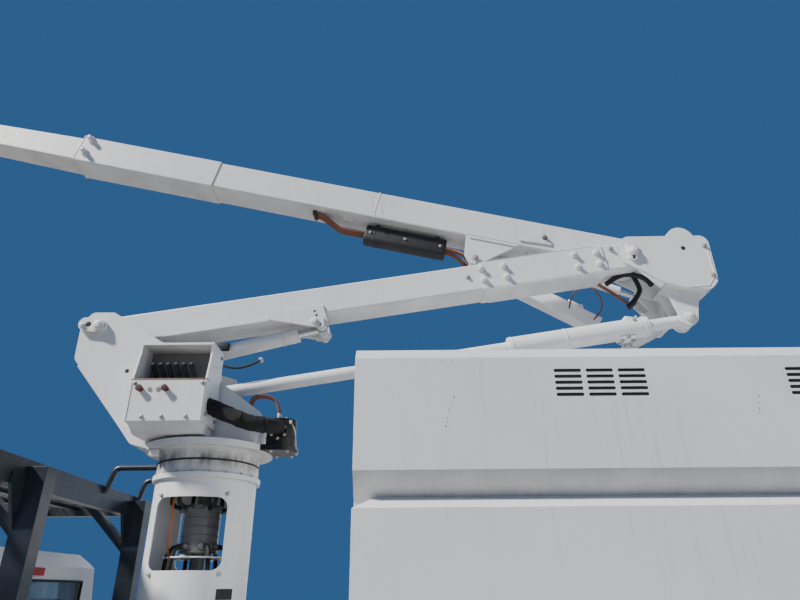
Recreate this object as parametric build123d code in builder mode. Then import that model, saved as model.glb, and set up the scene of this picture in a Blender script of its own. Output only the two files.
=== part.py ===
from build123d import *
import math
import os

# Cherry picker truck: a two axle truck with a chip body, a pedestal behind the cab and a two part boom.
# Axes: +X to the front of the truck, +Y to its left, +Z up. The origin is on the ground, under the
# axis of the pedestal. All sizes are in millimetres.

# Gaps between pieces
SHUT_GAP = 6.0
PIN_GAP = 0.3
SIDE_GAP = 8.0

# Chassis frame
FRAME_TOP = 900.0
RAIL_HEIGHT = 230.0
RAIL_OUTER_Y = 432.0
RAIL_FLANGE = 80.0
RAIL_WALL = 9.0
RAIL_REAR_X = -4500.0
RAIL_FRONT_X = 3795.0
CROSS_MEMBERS_X = (-4300.0, -3100.0, -1300.0, -300.0, 300.0, 1500.0, 3700.0)
CROSS_MEMBER_WIDTH = 90.0

# Wheels and axles
FRONT_AXLE_X = 3030.0
WHEELBASE = 5080.0
TYRE_R = 430.0
TYRE_WIDTH = 245.0
RIM_R = 250.0
RIM_BORE_R = 228.0
RIM_WIDTH = 200.0
DISC_THICKNESS = 14.0
HUB_R = 95.0
HUB_LENGTH = 120.0
HAND_HOLE_R = 30.0
HAND_HOLE_RING_R = 160.0
HAND_HOLE_COUNT = 8
SPINDLE_R = 45.0
FRONT_WHEEL_Y = 950.0
KINGPIN_Y = 850.0
KINGPIN_R = 24.0
KNUCKLE_HALF_HEIGHT = 95.0
AXLE_END_R = 38.0
AXLE_END_HEIGHT = 70.0
DUAL_SPACING = 275.0
REAR_PAIR_Y = 930.0
BEAM_DROP = 70.0
STEER_ARM = 170.0
TIE_ROD_R = 16.0
TIE_ROD_INSET = 65.0
SPRING_WIDTH = 70.0
SPRING_DEPTH = 50.0
SPRING_RISE = 90.0
SPRING_LEAF = 12.0
SPRING_SEAT = 60.0
SPRING_HALF_LENGTH = 620.0
FRONT_SPRING_Y = 400.0
REAR_SPRING_Y = 500.0
AXLE_TUBE_R = 62.0
DIFF_R = 175.0
SHAFT_R = 45.0
SHAFT_GAP = 3.0

# Engine
ENGINE_X = (2480.0, 3380.0)
ENGINE_HALF_WIDTH = 290.0
ENGINE_Z = (640.0, 1200.0)
GEARBOX_LENGTH = 800.0
GEARBOX_R = 160.0

# Cab
CAB_REAR_X = 1020.0
CAB_FRONT_X = 2400.0
CAB_BOTTOM_Z = 780.0
CAB_FLOOR_Z = 960.0
CAB_ROOF_Z = 2050.0
CAB_HALF_WIDTH = 1005.0
BELT_Z = 1440.0
ROOF_HALF_WIDTH = 850.0
COWL_Z = 1480.0
WINDSHIELD_TOP_X = 1810.0
CAB_WALL = 45.0
DOOR_REAR_X = 1180.0
DOOR_FRONT_X = 2290.0
DOOR_BOTTOM_Z = 810.0
DOOR_FRAME = 70.0
GLASS = 6.0
MIRROR_Y = (1130.0, 1350.0)
MIRROR_Z = (1420.0, 1800.0)
MIRROR_DEPTH = 90.0

# Hood, fenders and front end
HOOD_FRONT_X = 3745.0
HOOD_BOTTOM_Z = 1285.0
HOOD_HALF_WIDTH = 800.0
HOOD_WALL = 25.0
FENDER_OUTER_Y = 1130.0
FENDER_INNER_Y = 815.0
FENDER_FRONT_X = 3800.0
FENDER_BOTTOM_Z = 640.0
FENDER_WALL = 15.0
ARCH_R = 515.0
GRILLE_HALF_WIDTH = 600.0
GRILLE_Z = (905.0, 1270.0)
GRILLE_DEPTH = 45.0
GRILLE_BARS = 6
LAMP_Y = (640.0, 1020.0)
LAMP_Z = (1010.0, 1240.0)
BUMPER_X = (3860.0, 3955.0)
BUMPER_Z = (570.0, 800.0)
TOW_EYE_X = 4005.0
TOW_EYE_Z = 520.0
TOW_EYE_R = 46.0
TOW_HOLE_R = 22.0
TOW_PLATE = 24.0
TOW_PLATE_Y = 387.0

# Cab guard
GUARD_POST_X = (632.0, 752.0)
GUARD_POST_Y = 680.0
GUARD_TUBE = 100.0
GUARD_HALF_WIDTH = 1100.0
GUARD_TOP_Z = 2450.0
GUARD_HEADER = 140.0
GUARD_HEADER_DEPTH = 72.0
GUARD_RAIL = 60.0
GUARD_FLARE = 110.0
GUARD_FRONT_X = 3000.0
GUARD_BARS = 7
LIMB_TUBE_R = 19.0
LIMB_TUBE_Z = 2570.0
LIMB_TUBES = ((-210.0, 420.0), (-750.0, 600.0))

# Pedestal and slewing ring
PEDESTAL_R = 310.0
PEDESTAL_WALL = 12.0
PEDESTAL_TOP_Z = 2450.0
PEDESTAL_PLATE = 30.0
PEDESTAL_PLATE_HALF = 420.0
WINDOW_HALF_WIDTH = 210.0
WINDOW_Z = (1910.0, 2310.0)
WINDOW_CORNER = 55.0
MANIFOLD_R = 110.0
MANIFOLD_Z = (2010.0, 2290.0)
SLEW_RING_R = 316.0
SLEW_SEAM_Z = 2528.0
SLEW_SEAM = 3.0
TURRET_FLANGE_Z = 2600.0
TURRET_FLANGE = 40.0
TURRET_FLANGE_R = 400.0

# Cabinets beside the pedestal
CABINET_X = (-960.0, 100.0)
CABINET_Y = (470.0, 1180.0)
CABINET_Z = (700.0, 1520.0)
CABINET_WALL = 25.0
CABINET_DOOR = 30.0
CABINET_HINGE_R = 12.0
CABINET_HINGE_LENGTH = 80.0
CABINET_HINGE_INSET = 100.0

# Chip body
BODY_X = (-4400.0, -1030.0)
BODY_HALF_WIDTH = 1220.0
BODY_BOTTOM_Z = 1000.0
BODY_TOP_Z = 2890.0
BODY_BEVEL = 65.0
UPPER_PANEL_Z = 2290.0
GROOVE_Z = 2170.0
GROOVE_DEPTH = 120.0
LEDGE_Z = 2126.0
BODY_WALL = 35.0
BODY_FLOOR = 60.0
SILL_WIDTH = 90.0
VENT_LENGTH = 133.0
VENT_HEIGHT = 17.0
VENT_PITCH_X = 155.0
VENT_PITCH_Z = 30.0
VENT_CENTRE_Z = 2695.0
VENT_GROUPS_X = (-2215.0, -3335.0)
TAILGATE = 40.0
TAILGATE_HINGE_R = 14.0

# Rear end
BUMPER_TUBE_X = (-4650.0, -4590.0)
BUMPER_TUBE_Z = (480.0, 600.0)
BUMPER_TUBE_HALF = 900.0
HITCH_PLATE = 25.0
HITCH_HALF_WIDTH = 425.0
HITCH_Z = (600.0, 890.0)
HITCH_HOLE_R = 9.0
HITCH_SPACING = (86.0, 44.0)
HITCH_CENTRE_Z = 745.0

# Fuel tank and silencer
TANK_X = (1150.0, 2150.0)
TANK_Y = (500.0, 940.0)
TANK_Z = (430.0, 750.0)
SILENCER_R = 120.0
SILENCER_X = (1300.0, 2000.0)
SILENCER_Y = -620.0
SILENCER_Z = 610.0

# Turret
TURRET_PIN = (840.0, 3440.0)
LINK_DROP = (-350.0, -490.0)
TURRET_PLATE = 15.0
TURRET_HALF_WIDTH = 220.0
KEEPER_LENGTH = 190.0
KEEPER_WIDTH = 96.0
KEEPER_PROUD = 34.0
TURRET_BASE_X = (-330.0, 350.0)
TURRET_BASE_TOP_Z = 2730.0
RAM_BASE = (600.0, 3175.0)
CONTROL_X = (-75.0, 385.0)
CONTROL_Y = (228.0, 500.0)
CONTROL_Z = (2712.0, 2965.0)
RECESS_TOP_Z = 3225.0
RECESS_FRONT_Y = 450.0
FLAP_SLOPE = 110.0
FLAP_DROP = 55.0
LEVER_COUNT = 6
LEVER_PITCH = 48.0
LEVER_R = 7.0
LEVER_LENGTH = 120.0
DRIVE_CENTRE = (-465.0, 60.0)
DRIVE_R = 95.0
BUNDLE_R = 50.0
DRIVE_Z = (2645.0, 2815.0)

# Lower boom
LOWER_LENGTH = 3850.0
LOWER_ANGLE = 8.9
LOWER_HEIGHT = 210.0
LOWER_HALF_WIDTH = 115.0
LOWER_SLEEVE = (2723.0, 3650.0)
SLEEVE_PROUD = 8.0
PIN_R = 38.0
BOSS_R = 78.0
RAM_LUG = (1525.0, -178.0)
RAM_LUG_PLATE = 14.0

# Lift rams: barrel, rod and eye radii, and where the barrel ends
RAM_BARREL_R = 52.0
RAM_ROD_R = 30.0
RAM_EYE_R = 42.0
RAM_EYE_HALF = 38.0
RAM_PIN_R = 22.0
RAM_START = 64.0
RAM_STROKE_ROOM = 165.0
RAM_COLLAR = 2.0
RAM_COLLAR_LENGTH = 70.0
LIFT_HEAD_GAP = 175.0
UPPER_HEAD_GAP = 270.0
LEVEL_HEAD_GAP = 140.0
UPPER_RAM_HALF = 62.0
UPPER_RAM_ROD_R = 32.0
LEVEL_RAM_R = 36.0
LEVEL_ROD_R = 20.0

# Levelling link
LINK_R = 44.0
LINK_SLEEVE_R = 74.0
LINK_SLEEVE = (2540.0, 3560.0)
LINK_EYE_R = 62.0
LINK_EYE_HALF = 45.0

# Elbow
ELBOW_PLATE = 15.0
ELBOW_HALF_WIDTH = 150.0
ELBOW_TOP_Z = 4172.0
ELBOW_REAR_X = -3546.0
ELBOW_KEEPER_LENGTH = 150.0
ELBOW_KEEPER_PROUD = 22.0
UPPER_PIN = (-3350.0, 4148.0)
UPPER_PIN_R = 62.0
RAM_ANCHOR = (-3010.0, 3490.0)
LEVEL_ANCHOR = (-3123.0, 3875.0)
ANCHOR_GAP = 110.0
ANCHOR_PLATE = 15.0

# Upper boom
UPPER_Y = -295.0
UPPER_HALF_WIDTH = 125.0
UPPER_HEIGHT = 250.0
UPPER_ANGLE = 13.4
UPPER_LENGTH = 7314.0
UPPER_SLEEVE = (3764.0, 5040.0)
UPPER_TAIL = 130.0
BOOM_CORNER = 14.0
HOSE_SLEEVE = (2400.0, 1712.0)
HOSE_SLEEVE_HALF = 58.0
HOSE_SLEEVE_HEIGHT = 150.0
SLEEVE_DROP = 32.0
HOSE_R = 8.0
HOSE_BEND = 70.0
TIP_HALF_WIDTH = 85.0
TIP_HEIGHT = 170.0
RAM_HEAD = (1464.0, -326.0)
LEVEL_HEAD = (1000.0, -175.0)
TIP_PIN_R = 25.0

# Platform
ROTATOR_REACH = 150.0
ROTATOR_R = 52.0
BRACKET_PLATE = 15.0
BUCKET_OFFSET = 125.0
BUCKET_SIZE = 610.0
BUCKET_HEIGHT = 1070.0
BUCKET_DROP = 520.0
BUCKET_WALL = 10.0
BUCKET_LIP = 25.0
BUCKET_TAPER = 25.0
BUCKET_CORNER = 60.0
BUCKET_INNER_CORNER = 18.0
BUCKET_MOUNT_GAP = 7.0

REAR_AXLE_X = FRONT_AXLE_X - WHEELBASE
AXLE_Z = TYRE_R
RAIL_BOTTOM = FRAME_TOP - RAIL_HEIGHT


# Shapes that many pieces share
def prism(plane, points, start, end, radius=0.0):
    """An outline on a plane, carried from one height above the plane to another."""
    with BuildPart() as piece:
        with BuildSketch(plane.offset(start)) as outline:
            Polygon(*points)
            if radius:
                fillet(outline.vertices(), radius)
        extrude(amount=end - start)
    return piece.part


def heights(plane, right, left):
    """Two values of Y as heights above a plane that faces left or right."""
    if plane.z_dir.Y > 0:
        return right, left
    return -left, -right


def slab(plane, points, right, left, radius=0.0):
    """A side view outline, between two values of Y."""
    low, high = heights(plane, right, left)
    return prism(plane, points, low, high, radius)


def plate(plane, corners, right, left):
    """A side view outline of (x, z, corner radius), between two values of Y."""
    low, high = heights(plane, right, left)
    with BuildPart() as piece:
        with BuildSketch(plane.offset(low)) as outline:
            Polygon(*[(x, z) for x, z, radius in corners])
            for x, z, radius in corners:
                if radius:
                    fillet(outline.vertices().sort_by_distance((x, z, 0))[0], radius)
        extrude(amount=high - low)
    return piece.part


def keeper(plane, centre, length, width, right, left, turn=0.0):
    """An oblong plate with a bolt hole, that keeps a pin from turning."""
    low, high = heights(plane, right, left)
    with BuildPart() as piece:
        with BuildSketch(plane.offset(low)):
            with Locations(Location((centre[0], centre[1], 0), turn)):
                SlotOverall(length, width)
                with Locations((width / 2 - length / 2, 0)):
                    Circle(width * 0.18, mode=Mode.SUBTRACT)
        extrude(amount=high - low)
    return piece.part


def box_beam(plane, start, end, y, half_width, height, corner):
    """A closed box section along a boom, with rounded corners."""
    section = Plane(origin=plane.from_local_coords(Vector(start, 0, 0)) + Vector(0, y, 0),
                    x_dir=(0, 1, 0), z_dir=plane.x_dir)
    with BuildPart() as piece:
        with BuildSketch(section):
            RectangleRounded(2 * half_width, height, corner)
        extrude(amount=end - start)
    return piece.part


def hose(points, radii, radius):
    """A hose through its corner points, each corner with its own bend."""
    with BuildPart() as piece:
        with BuildLine() as path:
            FilletPolyline(*points, radius=radii)
        with BuildSketch(Plane(origin=path.line @ 0, z_dir=path.line % 0)):
            Circle(radius)
        sweep(path=path.line)
    return piece.part


def disc(plane, centre, radius, right, left, bore=0.0):
    """A round piece that lies across the truck."""
    low, high = heights(plane, right, left)
    with BuildPart() as piece:
        with BuildSketch(plane.offset(low)):
            with Locations(centre):
                Circle(radius)
                if bore:
                    Circle(bore, mode=Mode.SUBTRACT)
        extrude(amount=high - low)
    return piece.part


def block(x, y, z):
    """A box between two values on each axis."""
    with BuildPart() as piece:
        with Locations(((x[0] + x[1]) / 2, (y[0] + y[1]) / 2, (z[0] + z[1]) / 2)):
            Box(x[1] - x[0], y[1] - y[0], z[1] - z[0])
    return piece.part


def bar(start, end, radius, bore=0.0):
    """A round bar or tube between two points."""
    run = Vector(*end) - Vector(*start)
    with BuildPart() as piece:
        with BuildSketch(Plane(origin=start, z_dir=run)):
            Circle(radius)
            if bore:
                Circle(bore, mode=Mode.SUBTRACT)
        extrude(amount=run.length)
    return piece.part


def turned(x, y, z, section):
    """A section of (radius, distance along Y) turned about a line along Y."""
    with BuildPart() as piece:
        with BuildSketch(Plane(origin=(x, y, z), x_dir=(1, 0, 0), z_dir=(0, 0, 1))):
            Polygon(*section)
        revolve(axis=Axis((x, y, z), (0, 1, 0)))
    return piece.part


def span(centre, half):
    """The two ends of a length about its middle."""
    return centre - half, centre + half


def save(piece, name):
    """Name a finished piece and write it."""
    piece.label = name
    export_step(piece, "parts/" + name + ".step")


def save_pair(piece, name):
    """Write a left hand piece and its mirror image."""
    other = mirror(piece, about=Plane.XZ)
    save(piece, name + "_left")
    save(other, name + "_right")


# Chassis
def make_frame():
    with BuildPart() as frame:
        for sign in (-1, 1):
            outer = sign * RAIL_OUTER_Y
            inner = sign * (RAIL_OUTER_Y - RAIL_FLANGE)
            web = sign * (RAIL_OUTER_Y - RAIL_WALL)
            low, high = RAIL_BOTTOM, FRAME_TOP
            channel = ((outer, low), (outer, high), (inner, high), (inner, high - RAIL_WALL),
                       (web, high - RAIL_WALL), (web, low + RAIL_WALL), (inner, low + RAIL_WALL),
                       (inner, low))
            add(prism(Plane.YZ, channel, RAIL_REAR_X, RAIL_FRONT_X))
        for x in CROSS_MEMBERS_X:
            add(block(span(x, CROSS_MEMBER_WIDTH / 2), span(0, RAIL_OUTER_Y - RAIL_WALL),
                      (RAIL_BOTTOM + 2 * RAIL_WALL, FRAME_TOP - 2 * RAIL_WALL)))
        for axle_x, spring_y in ((FRONT_AXLE_X, FRONT_SPRING_Y), (REAR_AXLE_X, REAR_SPRING_Y)):
            for end in (-1, 1):
                for sign in (-1, 1):
                    x = axle_x + end * SPRING_HALF_LENGTH
                    reach = sorted((sign * (RAIL_OUTER_Y - 60), sign * (spring_y + SPRING_WIDTH / 2)))
                    hanger_z = AXLE_Z + SPRING_SEAT + SPRING_RISE + SPRING_LEAF
                    add(block(span(x, 45), reach, (hanger_z, RAIL_BOTTOM + RAIL_WALL)))
        add(block((RAIL_REAR_X - HITCH_PLATE, RAIL_REAR_X), span(0, HITCH_HALF_WIDTH), HITCH_Z))
        for y in span(0, HITCH_HALF_WIDTH - 40):
            add(block((RAIL_REAR_X - 5, RAIL_REAR_X + 120), span(y, 30), (RAIL_BOTTOM, RAIL_BOTTOM + 12)))
        with BuildSketch(Plane.YZ.offset(RAIL_REAR_X - HITCH_PLATE - 1)):
            with Locations((0, HITCH_CENTRE_Z)):
                with GridLocations(HITCH_SPACING[0], HITCH_SPACING[1], 2, 2):
                    Circle(HITCH_HOLE_R)
        extrude(amount=HITCH_PLATE + 2, mode=Mode.SUBTRACT)
    save(frame.part, "frame")


def spring(axle_x, y):
    """A leaf spring: a flat arc through its axle seat, low in the middle."""
    rise = SPRING_RISE
    low = AXLE_Z + SPRING_SEAT
    with BuildPart() as leaf:
        with BuildSketch(Plane.XZ.offset(-y - SPRING_WIDTH / 2)):
            with BuildLine():
                left = (axle_x - SPRING_HALF_LENGTH, low + rise)
                right = (axle_x + SPRING_HALF_LENGTH, low + rise)
                ThreePointArc(left, (axle_x, low), right)
                Line(right, (right[0], right[1] + SPRING_LEAF))
                ThreePointArc((right[0], right[1] + SPRING_LEAF), (axle_x, low + SPRING_DEPTH),
                              (left[0], left[1] + SPRING_LEAF))
                Line((left[0], left[1] + SPRING_LEAF), left)
            make_face()
        extrude(amount=SPRING_WIDTH)
    return leaf.part


def front_axle():
    beam_top = AXLE_Z - 10
    with BuildPart() as axle:
        half = KINGPIN_Y
        flat = KINGPIN_Y - 75
        knee = FRONT_SPRING_Y + 90
        low = beam_top - AXLE_END_HEIGHT
        beam = ((-half, low), (-half, beam_top), (-flat, beam_top),
                (-knee, beam_top - BEAM_DROP + 30), (knee, beam_top - BEAM_DROP + 30),
                (flat, beam_top), (half, beam_top), (half, low), (flat, low),
                (knee, beam_top - BEAM_DROP - 60), (-knee, beam_top - BEAM_DROP - 60), (-flat, low))
        add(prism(Plane.YZ, beam, FRONT_AXLE_X - AXLE_END_R, FRONT_AXLE_X + AXLE_END_R))
        for sign in (-1, 1):
            y = sign * FRONT_SPRING_Y
            add(spring(FRONT_AXLE_X, y))
            add(block(span(FRONT_AXLE_X, 60), span(y, SPRING_WIDTH / 2 + 10),
                      (beam_top - BEAM_DROP, AXLE_Z + 75)))
            with Locations((FRONT_AXLE_X, sign * KINGPIN_Y, beam_top - AXLE_END_HEIGHT / 2)):
                Cylinder(AXLE_END_R, AXLE_END_HEIGHT)
                Cylinder(KINGPIN_R + PIN_GAP, 2 * AXLE_END_HEIGHT, mode=Mode.SUBTRACT)
    return axle.part


def rear_axle():
    hub_face = REAR_PAIR_Y - DUAL_SPACING / 2 - RIM_WIDTH / 2
    with BuildPart() as axle:
        add(bar((REAR_AXLE_X, -hub_face, AXLE_Z), (REAR_AXLE_X, hub_face, AXLE_Z), AXLE_TUBE_R))
        add(bar((REAR_AXLE_X, -REAR_PAIR_Y - 60, AXLE_Z), (REAR_AXLE_X, REAR_PAIR_Y + 60, AXLE_Z),
                SPINDLE_R))
        section = ((0, -210), (80, -200), (DIFF_R, -70), (DIFF_R, 70), (80, 200), (0, 210))
        add(turned(REAR_AXLE_X, 0, AXLE_Z, section))
        add(bar((REAR_AXLE_X, 0, AXLE_Z), (REAR_AXLE_X + 300, 0, AXLE_Z), 75))
        for sign in (-1, 1):
            y = sign * REAR_SPRING_Y
            add(spring(REAR_AXLE_X, y))
            add(block(span(REAR_AXLE_X, 70), span(y, SPRING_WIDTH / 2 + 10), (AXLE_Z, AXLE_Z + 75)))
    return axle.part


def make_axles():
    with BuildPart() as axles:
        add(front_axle())
        add(rear_axle())
    save(axles.part, "axles")


def make_drive_line():
    rear = (REAR_AXLE_X + 300, 0, AXLE_Z)
    front = (ENGINE_X[0] - GEARBOX_LENGTH, 0, ENGINE_Z[0] - 50)
    slack = (front[2] - rear[2]) / (front[0] - rear[0]) * SHAFT_GAP
    with BuildPart() as shaft:
        add(bar((rear[0] + SHAFT_GAP, 0, rear[2] + slack), (front[0] - SHAFT_GAP, 0, front[2] - slack),
                SHAFT_R))
    save(shaft.part, "drive_shaft")
    with BuildPart() as engine:
        add(block(ENGINE_X, span(0, ENGINE_HALF_WIDTH), ENGINE_Z))
        chamfer(engine.edges().filter_by(Axis.X), 60)
        add(bar(front, (ENGINE_X[0], 0, front[2] + 60), GEARBOX_R))
    save(engine.part, "engine_block")


# Wheels
def tyre(x, y):
    half = TYRE_WIDTH / 2
    wall = TYRE_R - RIM_R
    section = ((RIM_R, -0.82 * half), (RIM_R + 0.45 * wall, -half), (TYRE_R - 0.16 * wall, -0.92 * half),
               (TYRE_R, -0.74 * half), (TYRE_R, 0.74 * half), (TYRE_R - 0.16 * wall, 0.92 * half),
               (RIM_R + 0.45 * wall, half), (RIM_R, 0.82 * half))
    return turned(x, y, AXLE_Z, section)


def rim(x, y, outward, dish):
    """A disc wheel; dish is the distance of its disc outward of the wheel's middle."""
    half = RIM_WIDTH / 2
    face = outward * dish
    back = face - outward * DISC_THICKNESS
    hub_end = face + outward * (HUB_LENGTH - 60)
    hub_back = face - outward * 60
    with BuildPart() as wheel:
        add(turned(x, y, AXLE_Z, ((RIM_BORE_R, -half), (RIM_R, -half), (RIM_R, half), (RIM_BORE_R, half))))
        add(turned(x, y, AXLE_Z, ((HUB_R - 25, back), (RIM_BORE_R + 6, back), (RIM_BORE_R + 6, face),
                                  (HUB_R - 25, face))))
        add(turned(x, y, AXLE_Z, ((SPINDLE_R + PIN_GAP, hub_back), (HUB_R, hub_back),
                                  (HUB_R - 15, hub_end), (SPINDLE_R + PIN_GAP, hub_end))))
        add(turned(x, y, AXLE_Z, ((0, hub_end - outward * 10), (HUB_R - 15, hub_end - outward * 10),
                                  (HUB_R - 20, hub_end + outward * 12), (0, hub_end + outward * 12))))
        hole_plane = Plane(origin=(x, y - 150, AXLE_Z), x_dir=(1, 0, 0), z_dir=(0, 1, 0))
        with BuildSketch(hole_plane):
            with PolarLocations(HAND_HOLE_RING_R, HAND_HOLE_COUNT):
                Circle(HAND_HOLE_R)
        extrude(amount=300, mode=Mode.SUBTRACT)
    return wheel.part


def make_wheels():
    outer = REAR_PAIR_Y + DUAL_SPACING / 2
    inner = REAR_PAIR_Y - DUAL_SPACING / 2
    save_pair(tyre(FRONT_AXLE_X, FRONT_WHEEL_Y), "front_tyre")
    save_pair(rim(FRONT_AXLE_X, FRONT_WHEEL_Y, 1, 60), "front_rim")
    with BuildPart() as twin_tyres:
        add(tyre(REAR_AXLE_X, outer))
        add(tyre(REAR_AXLE_X, inner))
    save_pair(twin_tyres.part, "rear_tyres")
    disc_y = (inner + outer) / 2
    with BuildPart() as twin_rims:
        add(turned(REAR_AXLE_X, outer, AXLE_Z, ((RIM_BORE_R, -RIM_WIDTH / 2), (RIM_R, -RIM_WIDTH / 2),
                                                (RIM_R, RIM_WIDTH / 2), (RIM_BORE_R, RIM_WIDTH / 2))))
        add(turned(REAR_AXLE_X, inner, AXLE_Z, ((RIM_BORE_R, -RIM_WIDTH / 2), (RIM_R, -RIM_WIDTH / 2),
                                                (RIM_R, RIM_WIDTH / 2), (RIM_BORE_R, RIM_WIDTH / 2))))
        add(turned(REAR_AXLE_X, disc_y, AXLE_Z, ((SPINDLE_R + PIN_GAP, -60), (HUB_R, -60),
                                                 (HUB_R, 90), (0, 90), (0, 72),
                                                 (SPINDLE_R + PIN_GAP, 72))))
        for sign in (-1, 1):
            rim_y = sign * (DUAL_SPACING - RIM_WIDTH) / 2
            add(turned(REAR_AXLE_X, disc_y, AXLE_Z,
                       ((HUB_R - 5, sign * 2), (RIM_BORE_R + 10, rim_y + sign * 12),
                        (RIM_BORE_R + 10, rim_y + sign * 30), (HUB_R - 5, sign * 20))))
        hole_plane = Plane(origin=(REAR_AXLE_X, disc_y - 130, AXLE_Z), x_dir=(1, 0, 0), z_dir=(0, 1, 0))
        with BuildSketch(hole_plane):
            with PolarLocations(HAND_HOLE_RING_R, HAND_HOLE_COUNT):
                Circle(HAND_HOLE_R)
        extrude(amount=260, mode=Mode.SUBTRACT)
    save_pair(twin_rims.part, "rear_rims")


def make_knuckles():
    """Steering knuckle: a fork on the kingpin, a spindle and an arm to the tie rod."""
    fork = KNUCKLE_HALF_HEIGHT
    beam_mid = AXLE_Z - 45
    with BuildPart() as knuckle:
        back_y = KINGPIN_Y + 45
        add(block(span(FRONT_AXLE_X, 45), (back_y, back_y + 24), (AXLE_Z - fork - 40, AXLE_Z + fork)))
        for z in (beam_mid + 35 + 5, beam_mid - 35 - 5 - 26):
            add(block(span(FRONT_AXLE_X, 45), (KINGPIN_Y - 40, back_y + 10), (z, z + 26)))
        add(bar((FRONT_AXLE_X, KINGPIN_Y, beam_mid - 66), (FRONT_AXLE_X, KINGPIN_Y, beam_mid + 66),
                KINGPIN_R))
        add(bar((FRONT_AXLE_X, back_y, AXLE_Z), (FRONT_AXLE_X, FRONT_WHEEL_Y + 85, AXLE_Z), SPINDLE_R))
        arm_z = beam_mid - 66
        arm = ((FRONT_AXLE_X - 40, KINGPIN_Y - 30), (FRONT_AXLE_X - STEER_ARM - 25, KINGPIN_Y - 75),
               (FRONT_AXLE_X - STEER_ARM - 25, KINGPIN_Y - 25), (FRONT_AXLE_X - 40, KINGPIN_Y + 40))
        add(prism(Plane.XY, arm, arm_z, arm_z + 24))
    save_pair(knuckle.part, "knuckle")
    rod_z = arm_z - TIE_ROD_R - 6
    with BuildPart() as tie_rod:
        x = FRONT_AXLE_X - STEER_ARM
        reach = KINGPIN_Y - TIE_ROD_INSET
        add(bar((x, -reach, rod_z), (x, reach, rod_z), TIE_ROD_R))
    save(tie_rod.part, "tie_rod")


# Cab
def cab_outlines(inset):
    """The cab's side and end outlines; the inner ones lie inset from the outer ones."""
    rear, front = CAB_REAR_X + inset, CAB_FRONT_X - inset
    roof = CAB_ROOF_Z - inset
    low = CAB_BOTTOM_Z - inset
    half, shoulder = CAB_HALF_WIDTH - inset, CAB_HALF_WIDTH - 20 - inset
    roof_half = ROOF_HALF_WIDTH - inset
    profile = ((rear, low), (rear, roof - 90), (rear + 90, roof), (WINDSHIELD_TOP_X - 110, roof),
               (WINDSHIELD_TOP_X, roof - 35), (CAB_FRONT_X - 70 - inset, COWL_Z), (front, COWL_Z - 40),
               (front, low))
    ends = ((-half + 20, low), (-half, low + 260), (-shoulder, BELT_Z), (-roof_half, roof - 65),
            (-roof_half + 70, roof), (roof_half - 70, roof), (roof_half, roof - 65), (shoulder, BELT_Z),
            (half, low + 260), (half - 20, low))
    return profile, ends


def cab_form(inset):
    profile, ends = cab_outlines(inset)
    with BuildPart() as form:
        add(slab(Plane.XZ, profile, -CAB_HALF_WIDTH - 10, CAB_HALF_WIDTH + 10))
        add(prism(Plane.YZ, ends, CAB_REAR_X - 10, CAB_FRONT_X + 10), mode=Mode.INTERSECT)
    return form.part


def door_outline(gap):
    """The door's side view outline, grown by a gap all round."""
    rear, front = DOOR_REAR_X - gap, DOOR_FRONT_X + gap
    low, top = DOOR_BOTTOM_Z - gap, CAB_ROOF_Z - 85 + gap
    return ((rear, low), (rear, top), (WINDSHIELD_TOP_X - 120 + gap, top),
            (WINDSHIELD_TOP_X - 30 + gap, top - 40), (front, COWL_Z + 10), (front, low))


def side_window_outline():
    rear, low, top = DOOR_REAR_X + DOOR_FRAME, BELT_Z + 40, CAB_ROOF_Z - 85 - DOOR_FRAME
    return ((rear, low), (rear, top), (WINDSHIELD_TOP_X - 130, top), (WINDSHIELD_TOP_X - 80, top - 30),
            (DOOR_FRONT_X - 170, low))


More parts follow.
